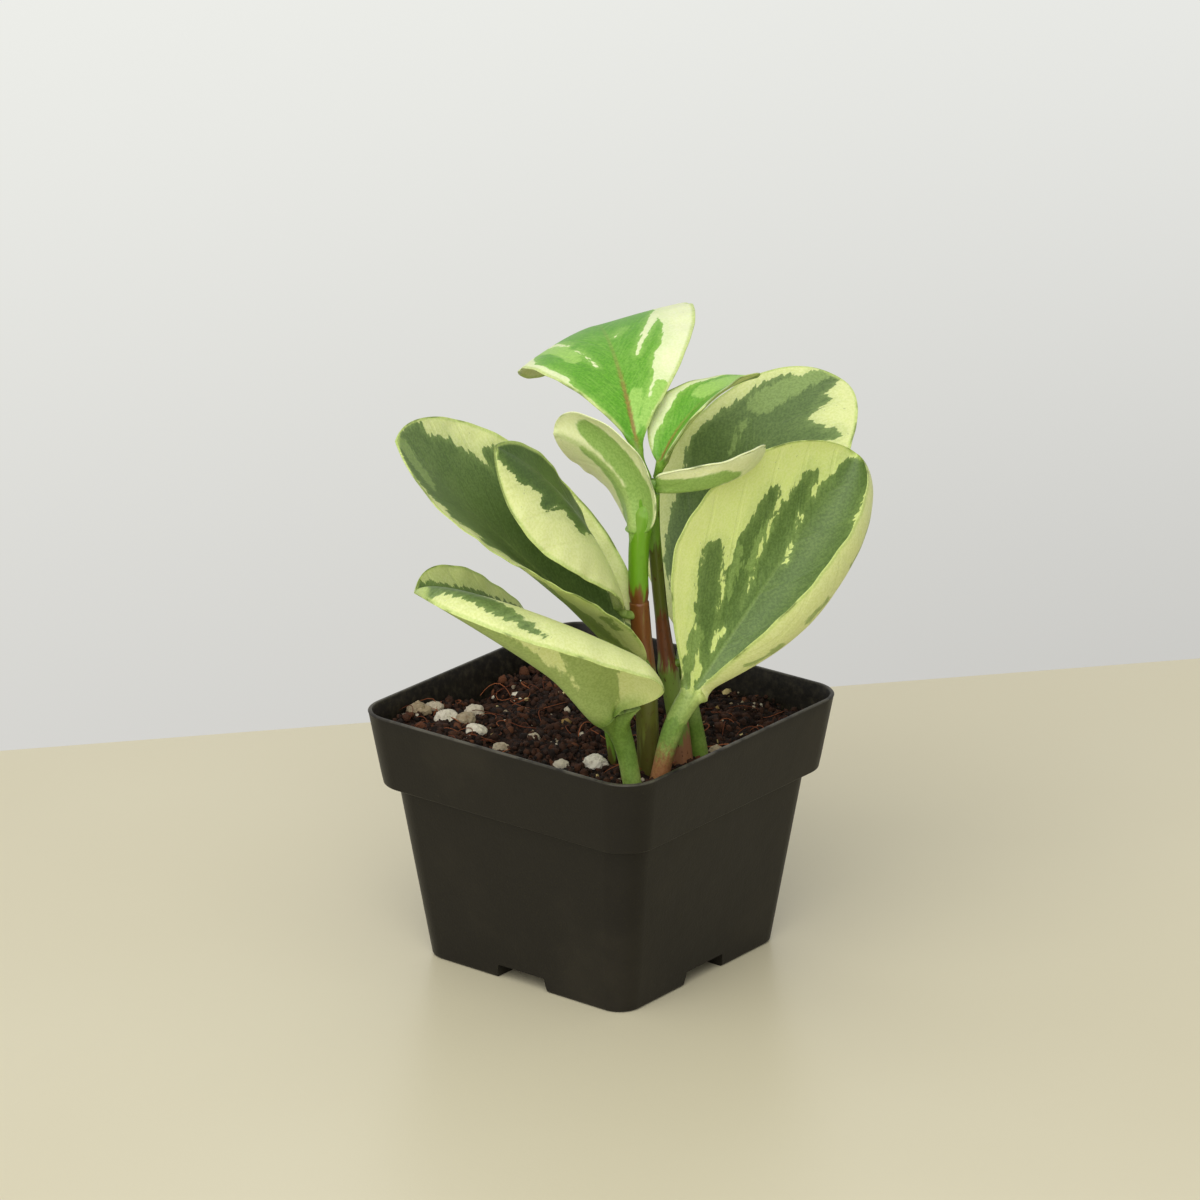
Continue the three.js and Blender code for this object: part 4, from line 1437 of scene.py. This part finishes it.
    def spots(self, place: Place, random: np.random.Generator, count: int) -> Array:
        """Random places on the mix, in the plant's frame, kept inside a rounded square.

        Args:
            place: where the plant stands.
            random: source of numbers.
            count: how many are wanted.

        Returns:
            Places, n by 2, at most as many as wanted.
        """
        xy = random.uniform(-self.strewn, self.strewn, (count * 2, 2))
        over = np.maximum(np.abs(xy) - (self.strewn - self.strewn_corner), 0)
        xy = xy[np.hypot(over[:, 0], over[:, 1]) < self.strewn_corner][:count]
        return place.to_plant(np.column_stack([xy, 0 * xy[:, 0]]))[:, :2]

    def scatter(self, litter: Litter, place: Place, random: np.random.Generator) -> bpy.types.Object:
        """Strews lumps over the mix in one mesh.

        Args:
            litter: what the lumps are like.
            place: where the plant stands.
            random: source of numbers.

        Returns:
            The object.
        """
        ball, faces = icosphere(litter.level)
        xy = self.spots(place, random, litter.count)
        count = len(xy)
        radius = litter.size[0] + (litter.size[1] - litter.size[0]) * random.random(count) ** 2.2
        scales = random.uniform(*litter.stretch, (count, 3))
        dents = 1 + self.dented * (random.random((count, len(ball))) - 0.5) * 2
        bodies = ball[None] * dents[..., None] * scales[:, None] * radius[:, None, None]
        bodies = np.einsum("nij,nkj->nki", turns(random, count), bodies)
        z = self.height(xy[:, 0], xy[:, 1]) + 0.3 * radius + 0.5 * cloud(np.column_stack([xy, 0 * xy[:, 0]]), 5.0, 5)
        bodies += np.column_stack([xy, z])[:, None]
        tone = np.repeat(random.random(count), len(ball))
        corners = (faces[None] + (np.arange(count) * len(ball))[:, None, None]).reshape(-1, 3)
        return make_piece(litter.name, place.row(bodies.reshape(-1, 3)), corners, litter.finish.material(),
                          {"tone": tone})

    def fibres(self, place: Place, random: np.random.Generator) -> bpy.types.Object:
        """Peat fibres and fine roots: each an arc whose heading turns steadily, as a thin tube over the mix.

        Args:
            place: where the plant stands.
            random: source of numbers.

        Returns:
            The object.
        """
        rings, sides = self.fibre_rings, self.fibre_sides
        xy = self.spots(place, random, self.fibre_count)
        along = np.linspace(-0.5, 0.5, rings)
        length, bend, arch = (random.uniform(low, high, (len(xy), 1)) for low, high in ((4, 13), (-2, 2), (0, 2.2)))
        heading = random.uniform(0, 2 * np.pi, (len(xy), 1)) + bend * along
        x, y = xy[:, :1] + length * along * np.cos(heading), xy[:, 1:] + length * along * np.sin(heading)
        centre = np.stack([x, y, self.height(x, y) + 0.5 + arch * (0.25 - along ** 2) * 4], -1)
        around = np.arange(sides) / sides * 2 * np.pi
        across = np.stack([-np.sin(heading), np.cos(heading), 0 * heading], -1)[:, :, None] * np.cos(around)[:, None]
        offset = across + np.array([0, 0, 1]) * np.sin(around)[:, None]
        tubes = centre[:, :, None] + offset * random.uniform(0.08, 0.17, (len(xy), 1, 1, 1))
        size = rings * sides + 2
        points = np.concatenate([with_hubs(tube) for tube in tubes])
        corners = [tuple(i + k * size for i in face) for k in range(len(tubes)) for face in ring_faces(rings, sides)]
        return make_piece("peat_fibres", place.row(points), corners, FIBRE.material(),
                          {"tone": np.repeat(random.random(len(tubes)), size)})

    def large_grains(self, place: Place) -> bpy.types.Object:
        """The large perlite and pumice grains: balls pitted by two sizes of noise, the lower third sunk.

        Args:
            place: where the plant stands.

        Returns:
            The object.
        """
        ball, faces = icosphere(4)
        parts, tones = [], []
        for number, (x, y, radius) in enumerate(self.grains):
            dents = 1 + 0.2 * cloud(ball + 7 * number, 0.8, number, 3) + 0.1 * cloud(ball + 3 * number, 0.25, number, 2)
            body = ball * dents[:, None] * np.array([1.12, 0.95, 0.85]) * radius
            height = float(self.height(np.array(x), np.array(y)))
            parts.append(body + np.array([x, y, height + radius * 0.15]))
            tones.append(np.full(len(ball), (number * 0.37) % 1.0))
        points = np.concatenate(parts)
        corners = np.concatenate([faces + k * len(ball) for k in range(len(parts))])
        return make_piece("perlite_grains", place.row(points), corners, PERLITE.material(),
                          {"tone": np.concatenate(tones)})


def icosphere(level: int) -> tuple[Array, Array]:
    """Unit ball of triangles: a twenty-sided body whose edges are halved level minus one times.

    Args:
        level: 1 gives the twenty-sided body itself.

    Returns:
        Vertices and faces.
    """
    g = (1 + 5**0.5) / 2
    v = [(-1, g, 0), (1, g, 0), (-1, -g, 0), (1, -g, 0), (0, -1, g), (0, 1, g), (0, -1, -g), (0, 1, -g), (g, 0, -1),
         (g, 0, 1), (-g, 0, -1), (-g, 0, 1)]
    f = [(0, 11, 5), (0, 5, 1), (0, 1, 7), (0, 7, 10), (0, 10, 11), (1, 5, 9), (5, 11, 4), (11, 10, 2), (10, 7, 6),
         (7, 1, 8), (3, 9, 4), (3, 4, 2), (3, 2, 6), (3, 6, 8), (3, 8, 9), (4, 9, 5), (2, 4, 11), (6, 2, 10), (8, 6, 7),
         (9, 8, 1)]
    points, faces = unit(np.array(v, float)), np.array(f)
    for _ in range(level - 1):
        mids = unit((points[faces] + points[np.roll(faces, -1, 1)]) / 2).reshape(-1, 3)
        keys, place = np.unique(np.round(mids, 6), axis=0, return_inverse=True)
        new = place.reshape(-1, 3) + len(points)
        points = np.vstack([points, unit(keys)])
        a, b, c = faces.T
        ab, bc, ca = new.T
        faces = np.concatenate([np.stack(t, 1) for t in ((a, ab, ca), (ab, b, bc), (ca, bc, c), (ab, bc, ca))])
    return points, faces


def turns(random: np.random.Generator, count: int) -> Array:
    """Random turns, each made from four random numbers of unit length by the usual quaternion formula.

    Args:
        random: source of numbers.
        count: how many turns.

    Returns:
        Matrices, n by 3 by 3.
    """
    q = unit(random.normal(size=(count, 4)))
    w, x, y, z = q.T
    return np.stack([
        np.stack([1 - 2 * (y * y + z * z), 2 * (x * y - z * w), 2 * (x * z + y * w)], -1),
        np.stack([2 * (x * y + z * w), 1 - 2 * (x * x + z * z), 2 * (y * z - x * w)], -1),
        np.stack([2 * (x * z - y * w), 2 * (y * z + x * w), 1 - 2 * (x * x + y * y)], -1)], -2)


# ---------------------------------------------------------------- studio

@dataclass(frozen=True)
class Studio:
    """Camera, soft light and a plain pale table.

    Attributes:
        lens: focal length, with the sensor's width.
        sensor: width of the sensor.
        sight: how far the camera sees, in metres.
        elevation: degrees by which the camera looks down.
        distance: its distance from what it aims at.
        sideways: how far its aim is off the pot's axis.
        target: height of its aim.
        back_edge: two places on the table's far edge.
        table_reach: how far the table reaches to each side and to the front.
        table_tones: its two colours.
        wall_foot: colours of the wall's foot, left and right.
        wall_head: colours of its upper part.
        wall_sides: leans to the right between which left passes into right.
        wall_levels: upward leans between which foot passes into head.
        room_levels: upward leans between which the wall passes into the room.
        room_dim: colour of the room's dim side.
        room_light: colour of its bright side.
        bright_way: where the bright side is.
        bright_levels: leans that way between which dim passes into bright.
        key_way: where the light hangs.
        key_distance: how far off.
        key_aim: what it faces.
        key_size: its side in metres.
        key_power: its power in watts.
        key_colour: its colour.
    """

    lens: float = 180.0
    sensor: float = 36.0
    sight: float = 30.0
    elevation: float = 19.66
    distance: float = 1682.0
    sideways: float = -0.54
    target: float = 105.0
    back_edge: tuple[Pair, Pair] = ((-167.0, 159.0), (167.0, 232.0))
    table_reach: Pair = (3000.0, 4000.0)
    table_tones: tuple[Colour, Colour] = (tint(209, 201, 171), tint(215, 208, 180))
    wall_foot: tuple[Colour, Colour] = (tint(211, 210, 206), tint(194, 193, 189))
    wall_head: tuple[Colour, Colour] = (tint(240, 241, 236), tint(235, 236, 232))
    wall_sides: Pair = (-0.14, 0.14)
    wall_levels: Pair = (-0.40, -0.20)
    room_levels: Pair = (-0.16, 0.04)
    room_dim: Colour = (0.42, 0.42, 0.415)
    room_light: Colour = (0.72, 0.72, 0.71)
    bright_way: Point = (-0.75, 0.55, 0.35)
    bright_levels: Pair = (-0.5, 0.9)
    key_way: Point = (-0.17, -0.72, 0.68)
    key_distance: float = 2600.0
    key_aim: Point = (0.0, 0.0, 80.0)
    key_size: float = 2.8
    key_power: float = 63.0
    key_colour: Colour = (1.0, 0.985, 0.955)

    def camera(self, place: Place) -> None:
        """Sets the camera at the height and the side from which the plant is seen best.

        Args:
            place: where the plant stands.
        """
        e = math.radians(self.elevation)
        back = np.array([0.0, -math.cos(e), math.sin(e)])
        up = np.array([0.0, math.sin(e), math.cos(e)])
        spot = back * self.distance + np.array([self.sideways, 0.0, self.target])
        axes = place.turned(np.array([[1.0, 0.0, 0.0], up, back]))
        data = bpy.data.cameras.new("camera")
        data.lens, data.sensor_width, data.clip_end = self.lens, self.sensor, self.sight
        eye = bpy.data.objects.new("camera", data)
        eye.matrix_world = Matrix.Translation(Vector(place.row(spot))) @ Matrix(axes.T.tolist()).to_4x4()
        bpy.context.scene.collection.objects.link(eye)
        bpy.context.scene.camera = eye

    def key_light(self, place: Place) -> None:
        """Adds the one large, square, soft light, in front of the plant and above it.

        Args:
            place: where the plant stands.
        """
        data = bpy.data.lights.new("key_light", "AREA")
        data.shape, data.size, data.energy, data.color = "SQUARE", self.key_size, self.key_power, self.key_colour
        lamp = bpy.data.objects.new("key_light", data)
        spot = unit(np.array(self.key_way)) * self.key_distance
        where, aim = Vector(place.row(spot)), Vector(place.row(np.array(self.key_aim)))
        turn = (aim - where).to_track_quat("-Z", "Y").to_matrix().to_4x4()
        lamp.matrix_world = Matrix.Translation(where) @ turn
        bpy.context.scene.collection.objects.link(lamp)

    def surroundings(self, place: Place) -> None:
        """Sets the world: below the eye's level a pale wall, darker towards its foot and its right, and above it
        a soft room that is lighter on the left and behind.

        Args:
            place: where the plant stands.
        """
        world = bpy.data.worlds.new("pale_room")
        nodes = Nodes(world)
        look = nodes.node("TexCoord", {}).outputs["Generated"]

        def towards(way: Point, low: float, high: float) -> Socket:
            """Smooth step of how far a direction leans a way, which is given in the plant's frame."""
            axis = tuple(float(v) for v in unit(place.turned(np.array(way, float))))
            lean = nodes.node("VectorMath", {0: look, 1: axis}, operation="DOT_PRODUCT").outputs["Value"]
            return nodes.step(lean, low, high)

        across = towards((1, 0, 0), *self.wall_sides)
        foot, head = (nodes.mix(across, *pair) for pair in (self.wall_foot, self.wall_head))
        wall = nodes.mix(towards((0, 0, 1), *self.wall_levels), foot, head)
        room = nodes.mix(towards(self.bright_way, *self.bright_levels), self.room_dim, self.room_light)
        seen = nodes.mix(towards((0, 0, 1), *self.room_levels), wall, room)
        nodes.feed(nodes.tree.nodes["Background"].inputs[0], seen)
        bpy.context.scene.world = world

    def table(self, place: Place) -> bpy.types.Object:
        """The pale table: a wide sheet that ends behind the pot.

        Args:
            place: where the plant stands.

        Returns:
            The sheet.
        """
        (x0, y0), (x1, y1) = self.back_edge
        slope = (y1 - y0) / (x1 - x0)
        wide, near = self.table_reach
        far = [(x, y0 + slope * (x - x0)) for x in (-wide, wide)]
        outline = np.array([(-wide, -near, 0), (wide, -near, 0), (*far[1], 0), (*far[0], 0)])
        r = Recipe("painted_table")
        here = r.object_place()
        colour = r.mix(r.step(r.noise(here, 3.0, 3.0), -0.3, 0.3), *self.table_tones)
        finish = r.done(Base_Color=colour, Roughness=0.34, Normal=r.bump(r.noise(here, 900.0), 0.00003),
                        Specular_IOR_Level=0.5)
        sheet = make_piece("table_top", place.row(outline), [(0, 1, 2, 3)], finish)
        return sheet

    def build(self, place: Place) -> None:
        """Sets up the whole studio."""
        self.camera(place)
        self.surroundings(place)
        self.table(place)
        self.key_light(place)
        bpy.context.scene.view_settings.view_transform = "Standard"


# ---------------------------------------------------------------- the plant

P, C = Tone.PALE, Tone.CREAM

OLD_LEAF = LeafSkin("old_leaf_skin")
# Skin of the front-right leaf: its red stalk foot is its own colour, and its cream is lighter than the old leaf's,
# painted light on a blade inclined away.
FLUSHED_LEAF_PAINTED_LIGHT = LeafSkin("flushed_leaf_skin_painted_light", cream=tint(230, 240, 158), foot=0.85, roughness=0.52)
# Skin of the upper-left leaf: its green and pale green are darker than the old leaf's, painted shade.
SMALL_LEAF_PAINTED_SHADE = LeafSkin("small_leaf_skin_painted_shade", green=tint(70, 96, 42), pale=tint(112, 138, 70))
YOUNG_LEAF = LeafSkin("young_leaf_skin", cream=tint(238, 242, 200), green=tint(112, 134, 92),
                      pale=tint(150, 182, 100), under_cream=tint(228, 234, 178), under_green=tint(136, 174, 78),
                      stalk=tint(112, 166, 36), rib=tint(190, 210, 130), rim=tint(226, 234, 180), ragged=0.35)
CROWN_LEAF = LeafSkin("crown_leaf_skin", cream=tint(232, 240, 190), green=tint(92, 158, 34), pale=tint(158, 202, 96),
                      rib=tint(140, 150, 70), stalk=tint(120, 160, 50), flush=0.6, ragged=0.55, streaked=0.55)

LEAVES = (
    Leaf("crown_leaf", "leaf_crown", "crown_leaf", source=(12.6, -26.6, 149.8), radius=1.1, throat=1.7,
         base=(9.7, -25.7, 157.4), azimuth=106.4, turn=-13.4, rise=54.5, droop=-98, length=86, roll=7.2, twist=6,
         width=(26.8, 26.6), widest=0.65, open=1.26, blunt=0.72, fold=((20, -12), (2.4, 4.8)),
         curl=((8, -50), (-10, -2)), skin=CROWN_LEAF,
         markings=(*trail((0.02, 0.1, 2.5), (0.3, 0.15, 12), (0.5, 0.12, 18.5), (0.9, 0.1, 18)),
                   Stroke((0.37, -0.3), (0.72, -0.76), (0.4, 2.2), C), Stroke((0.1, -0.62), (0.22, -0.8), (1.2, 1.8)),
                   Stroke((0.1, -0.62), (0.22, -0.8), (2, 3), P), Stroke((0.5, -0.08), (0.55, -0.2), (0.15, 0.35), C),
                   Stroke((0.34, 0.3), (0.46, 0.4), (0.15, 0.3), C), Stroke((0.52, 0.42), (0.66, 0.6), (0.4, 1.4), C),
                   Stroke((0.06, -0.12), (0.2, -0.25), (1, 2), P), Stroke((0.4, 0.5), (0.7, 0.7), (2, 4), P))),
    Leaf("crown_side_leaf", "leaf_crown_side", "crown_leaf", source=(15, -25.4, 149.8), radius=1.1, throat=1.4,
         base=(16, -26.4, 153.6), azimuth=42, turn=-11, rise=62, droop=-63, length=40, roll=8, twist=6, width=(13, 13),
         widest=0.47, open=0.86, blunt=0.5, fold=((20, 2), (21, 8)), curl=((20, 5), (21, 12)), skin=CROWN_LEAF,
         markings=(*trail((0, 0, 3), (0.6, 0.1, 9), (0.9, 0.1, 7)), Stroke((0.65, 0.3), (0.9, 0.1), (4, 5), P))),
    Leaf("young_leaf_left", "young_leaves", "young_leaf", source=(10, -33, 124), radius=2, throat=2.3,
         base=(9.5, -33.5, 136.8), azimuth=178.5, turn=-23, rise=88, droop=-80, length=38.4, roll=-55, twist=-11.3,
         width=(14.1, 15.8), widest=0.52, open=0.5, blunt=0.45, fold=((28.8, 38.3), (11, 3.8)),
         curl=((-82, -50.6), (50.8, 13.6)), skin=YOUNG_LEAF, open_right=0.4,
         markings=(Stroke((0.3, 0.35), (0.76, 0.48), (4.4, 3.6)), Stroke((0.2, -0.12), (0.75, -0.06), (2.8, 1.2)),
                   Stroke((0, 0.2), (0.3, 0.3), (6, 6)), Stroke((0.36, 0.08), (0.84, 0.1), (0.3, 0.3), C))),
    Leaf("young_leaf_right", "young_leaves", "young_leaf", source=(11, -33, 134), radius=2, throat=1.4,
         base=(15.2, -35.8, 150.7), azimuth=-20.6, turn=79, rise=-2.5, droop=28, length=33.3, roll=-21.6, twist=-9,
         width=(12.7, 11.1), widest=0.55, open=0.26, blunt=0.42, fold=((98, 87), (73, 78.6)),
         curl=((43.5, 33), (10, 23.3)), skin=YOUNG_LEAF,
         markings=(*trail((0, -0.5, 5.5), (0.5, -0.45, 3), (0.64, -0.3, 1.4)), Stroke((0, 0.1), (0.4, 0), (3, 2)))),
    Leaf("back_right_leaf", "leaf_back_right", "leaf", source=(27.8, -20.5, 58), radius=2.5, throat=2.8,
         base=(24, -18, 99.6), azimuth=63, turn=-23, rise=68, droop=-50, length=92.5, roll=2, twist=-8,
         width=(29, 29.5), widest=0.41, open=0.93, blunt=0.48, fold=((-14, 5), (-10, 0)), curl=((-12, 8), (-8, 4)),
         skin=OLD_LEAF,
         markings=(Stroke((0, 0), (0.3, 0), (4, 15)), Stroke((0.3, 0.05), (0.62, 0.12), (15, 19.5)),
                   Stroke((0.62, 0.2), (0.82, 0.22), (18, 11)), Stroke((0.82, 0.2), (0.96, 0.12), (10, 5)),
                   Stroke((0.4, -0.2), (0.7, -0.35), (14, 9)), Stroke((0.72, -0.4), (0.775, -0.68), (3, 2.6)),
                   Stroke((0.78, -0.12), (0.89, -0.3), (2.5, 1.6)), Stroke((0.8, 0.45), (0.97, 0.4), (5, 3), P),
                   Stroke((0.6, 0.3), (0.71, 0.42), (0.9, 1.1), P))),
    Leaf("front_right_leaf", "leaf_front_right", "leaf", source=(13.6, -39, 58), radius=2.6, throat=3.2,
         base=(23.7, -36, 88.6), azimuth=34, turn=-2, rise=48.5, droop=-1, length=83, roll=-58, twist=-13,
         width=(37, 40), widest=0.49, open=1.16, blunt=0.59, fold=((22, 14), (8, 12)), curl=((22, 26), (157, 136)),
         skin=FLUSHED_LEAF_PAINTED_LIGHT, leans=True,
         markings=(Stroke((0.14, 0.12), (0.3, 0.42), (2, 4.2)), Stroke((0.3, 0.42), (0.44, 0.57), (4.4, 4)),
                   *trail((0.3, 0.12, 3.5), (0.5, 0.3, 4.3), (0.71, 0.45, 2.8)),
                   *trail((0.5, 0.06, 4), (0.7, 0.17, 4.5), (0.84, 0.3, 2.4)),
                   Stroke((0.7, -0.1), (0.92, -0.2), (8, 6.5)), Stroke((0.06, 0), (0.3, -0.1), (1.5, 6)),
                   Stroke((0.3, -0.1), (0.7, -0.15), (7, 10)), Stroke((0.035, 0.72), (0.1, 0.72), (1.2, 1.5)),
                   Stroke((0.1, 0.5), (0.18, 0.5), (1.5, 2.2)), Stroke((0.1, 0.5), (0.18, 0.5), (2.5, 3.2), P),
                   Stroke((0.36, 0.24), (0.5, 0.36), (1.2, 1.6), P), Stroke((0.48, 0.2), (0.62, 0.28), (1.5, 2), P),
                   Stroke((0.56, -0.03), (0.72, 0.08), (0.25, 0.35), C),
                   Stroke((0.42, -0.75), (0.5, -0.75), (1.6, 1.6)), Stroke((0.66, -0.7), (0.8, -0.7), (1.5, 1.8)),
                   Stroke((0.2, -0.72), (0.3, -0.72), (1, 1.2)))),
    Leaf("left_leaf", "leaf_left", "leaf", source=(12.4, -33.4, 94), radius=1.8, throat=2.2, base=(11, -35, 98.9),
         azimuth=197.5, turn=13, rise=44.5, droop=2.5, length=103.5, roll=26, twist=10, width=(28, 28), widest=0.56,
         open=0.7, blunt=0.61, fold=((40, 3), (33, 6)), curl=((36, 7), (39, 7)), skin=OLD_LEAF,
         markings=(*trail((0, 0, 3), (0.3, 0, 14), (0.6, 0, 18), (0.85, 0, 15)), Stroke((0.85, 0), (0.95, 0), (14, 6)),
                   Stroke((0.4, 0.4), (0.5, 0.72), (3, 2.4)), Stroke((0.5, 0.4), (0.6, 0.74), (3, 2)),
                   Stroke((0.6, 0.4), (0.7, 0.75), (3, 2.4)), Stroke((0.7, 0.4), (0.81, 0.74), (4, 3)),
                   Stroke((0.6, -0.5), (0.68, -0.75), (3, 3)), Stroke((0.2, 0.78), (0.27, 0.86), (1.5, 1.5)),
                   Stroke((0.74, -0.88), (0.9, -0.85), (2, 3), C), Stroke((0.88, 0.3), (0.97, 0), (3, 3), P))),
    Leaf("upper_left_leaf", "leaf_upper_left", "leaf", source=(10.4, -33, 112), radius=1.2, throat=1.3,
         base=(5.2, -36, 115.2), azimuth=221, turn=3, rise=72, droop=-42, length=75, roll=7, twist=25,
         width=(23.6, 8.5), widest=0.56, open=0.82, blunt=0.72, fold=((-5, -21), (6, 29)), curl=((-25, -47), (4, 20)),
         skin=SMALL_LEAF_PAINTED_SHADE,
         markings=(Stroke((0.12, -0.3), (0.5, -0.3), (2, 7)), Stroke((0.5, -0.1), (0.85, -0.1), (9, 8)),
                   Stroke((0.85, -0.05), (0.95, 0), (7, 4)), Stroke((0.6, 0.1), (0.72, 0.42), (3, 2.6)),
                   Stroke((0.42, 0.1), (0.52, 0.32), (3, 2.4)), Stroke((0.3, 0.3), (0.45, 0.4), (2, 2), P))),
    Leaf("lower_left_leaf", "leaf_low_left", "leaf", source=(10.6, -45, 58), radius=2.6, throat=3.6,
         base=(0.7, -45, 88.2), azimuth=218, turn=-29, rise=42, droop=-9, length=70.7, roll=-8, twist=-6.2,
         width=(41, 28.3), widest=0.3, open=0.53, blunt=0.42, fold=((82.7, 88.4), (26, 36)),
         curl=((-115, -169), (12, 16)), skin=OLD_LEAF, spreads=True, leans=True, open_right=0.75,
         markings=(*trail((0.66, 0.9, 1), (0.8, 0.75, 2.5), (0.98, 0.5, 4)),
                   *trail((0.3, -0.95, 2), (0.7, -0.6, 3), (0.98, -0.2, 4)), Stroke((0.1, 0), (0.9, 0), (4, 8)),
                   Stroke((0, 0.3), (0.35, 0.4), (3, 8)))),
)

OLIVE, RUST, LEAFY, BRIGHT = tint(84, 82, 30), tint(116, 68, 26), tint(112, 150, 52), tint(106, 158, 26)
STEMS = (
    Stem("front_stem", "stem_front", "stem",
         points=((13.3, -32, 59), (12.6, -32.8, 80), (12.1, -33, 92), (11, -33, 105), (10.2, -33, 117)),
         radii=(3.3, 3.1, 3.2, 2.8, 2.7),
         skin=StemSkin("front_stem_skin", ((0, OLIVE), (0.08, tint(96, 98, 34)), (0.098, RUST), (0.121, BRIGHT))),
         joints=((0.5, 0.02, 0.25),)),
    Stem("back_stem", "stem_back", "stem",
         points=((23.2, -26.5, 59), (21, -25, 79), (18.4, -25, 94), (16.6, -25.2, 108), (14.2, -25.6, 134),
                 (13.6, -26, 149.5)),
         radii=(3, 2.9, 2.5, 1.9, 1.8, 2.2),
         skin=StemSkin("back_stem_skin", ((0, tint(148, 104, 72)), (0.074, tint(116, 140, 58)),
                                          (0.095, tint(104, 58, 28)), (0.11, tint(84, 92, 28)), (0.13, LEAFY)),
                       streak=0.03, spotted=0.8),
         joints=((0.4, 0.035, 0.5),)),
    Stem("back_stem_bud", "stem_back", "stem", points=((19.6, -25.6, 95), (22, -26, 96.5), (24, -26.2, 98.6)),
         radii=(1.3, 1, 0.45), skin=StemSkin("bud_skin"), sides=20, rings=24),
    Stem("young_stalk", "young_leaves", "young_leaf",
         points=((10.2, -33, 115), (10.1, -33, 119), (10, -33, 127), (10.4, -33.2, 135), (11.8, -33.6, 142),
                 (14.4, -34.2, 148.8)),
         radii=(2.1, 2.76, 2.75, 2.95, 3.3, 1.6),
         skin=StemSkin("young_stalk_skin", ((0, RUST), (0.121, BRIGHT), (0.139, tint(124, 168, 60))), spotted=0.1)),
    Stem("soil_shoot", "shoot", "stem", points=((3.4, -26, 60), (2.6, -27.5, 70), (0.6, -28.5, 80)),
         radii=(1.2, 1.1, 0.5), skin=StemSkin("shoot_skin", ((0, OLIVE), (0.07, LEAFY))), sides=24, rings=40),
)


def main() -> None:
    """Builds the whole scene in order."""
    logging.basicConfig(level=logging.INFO, format="%(name)s: %(message)s")
    place = pot_place()
    Studio().build(place)
    pot = Pot()
    pot.build(place, MouldedPlastic())
    Soil().build(pot, place)
    for stem in STEMS:
        stem.build(place)
    for leaf in LEAVES:
        leaf.build(place)

    def corners(bounds: object) -> list[list[float]]:
        """A box's corners as plain lists."""
        return [[float(v) for v in corner] for corner in bounds]


if __name__ == "__main__":
    main()
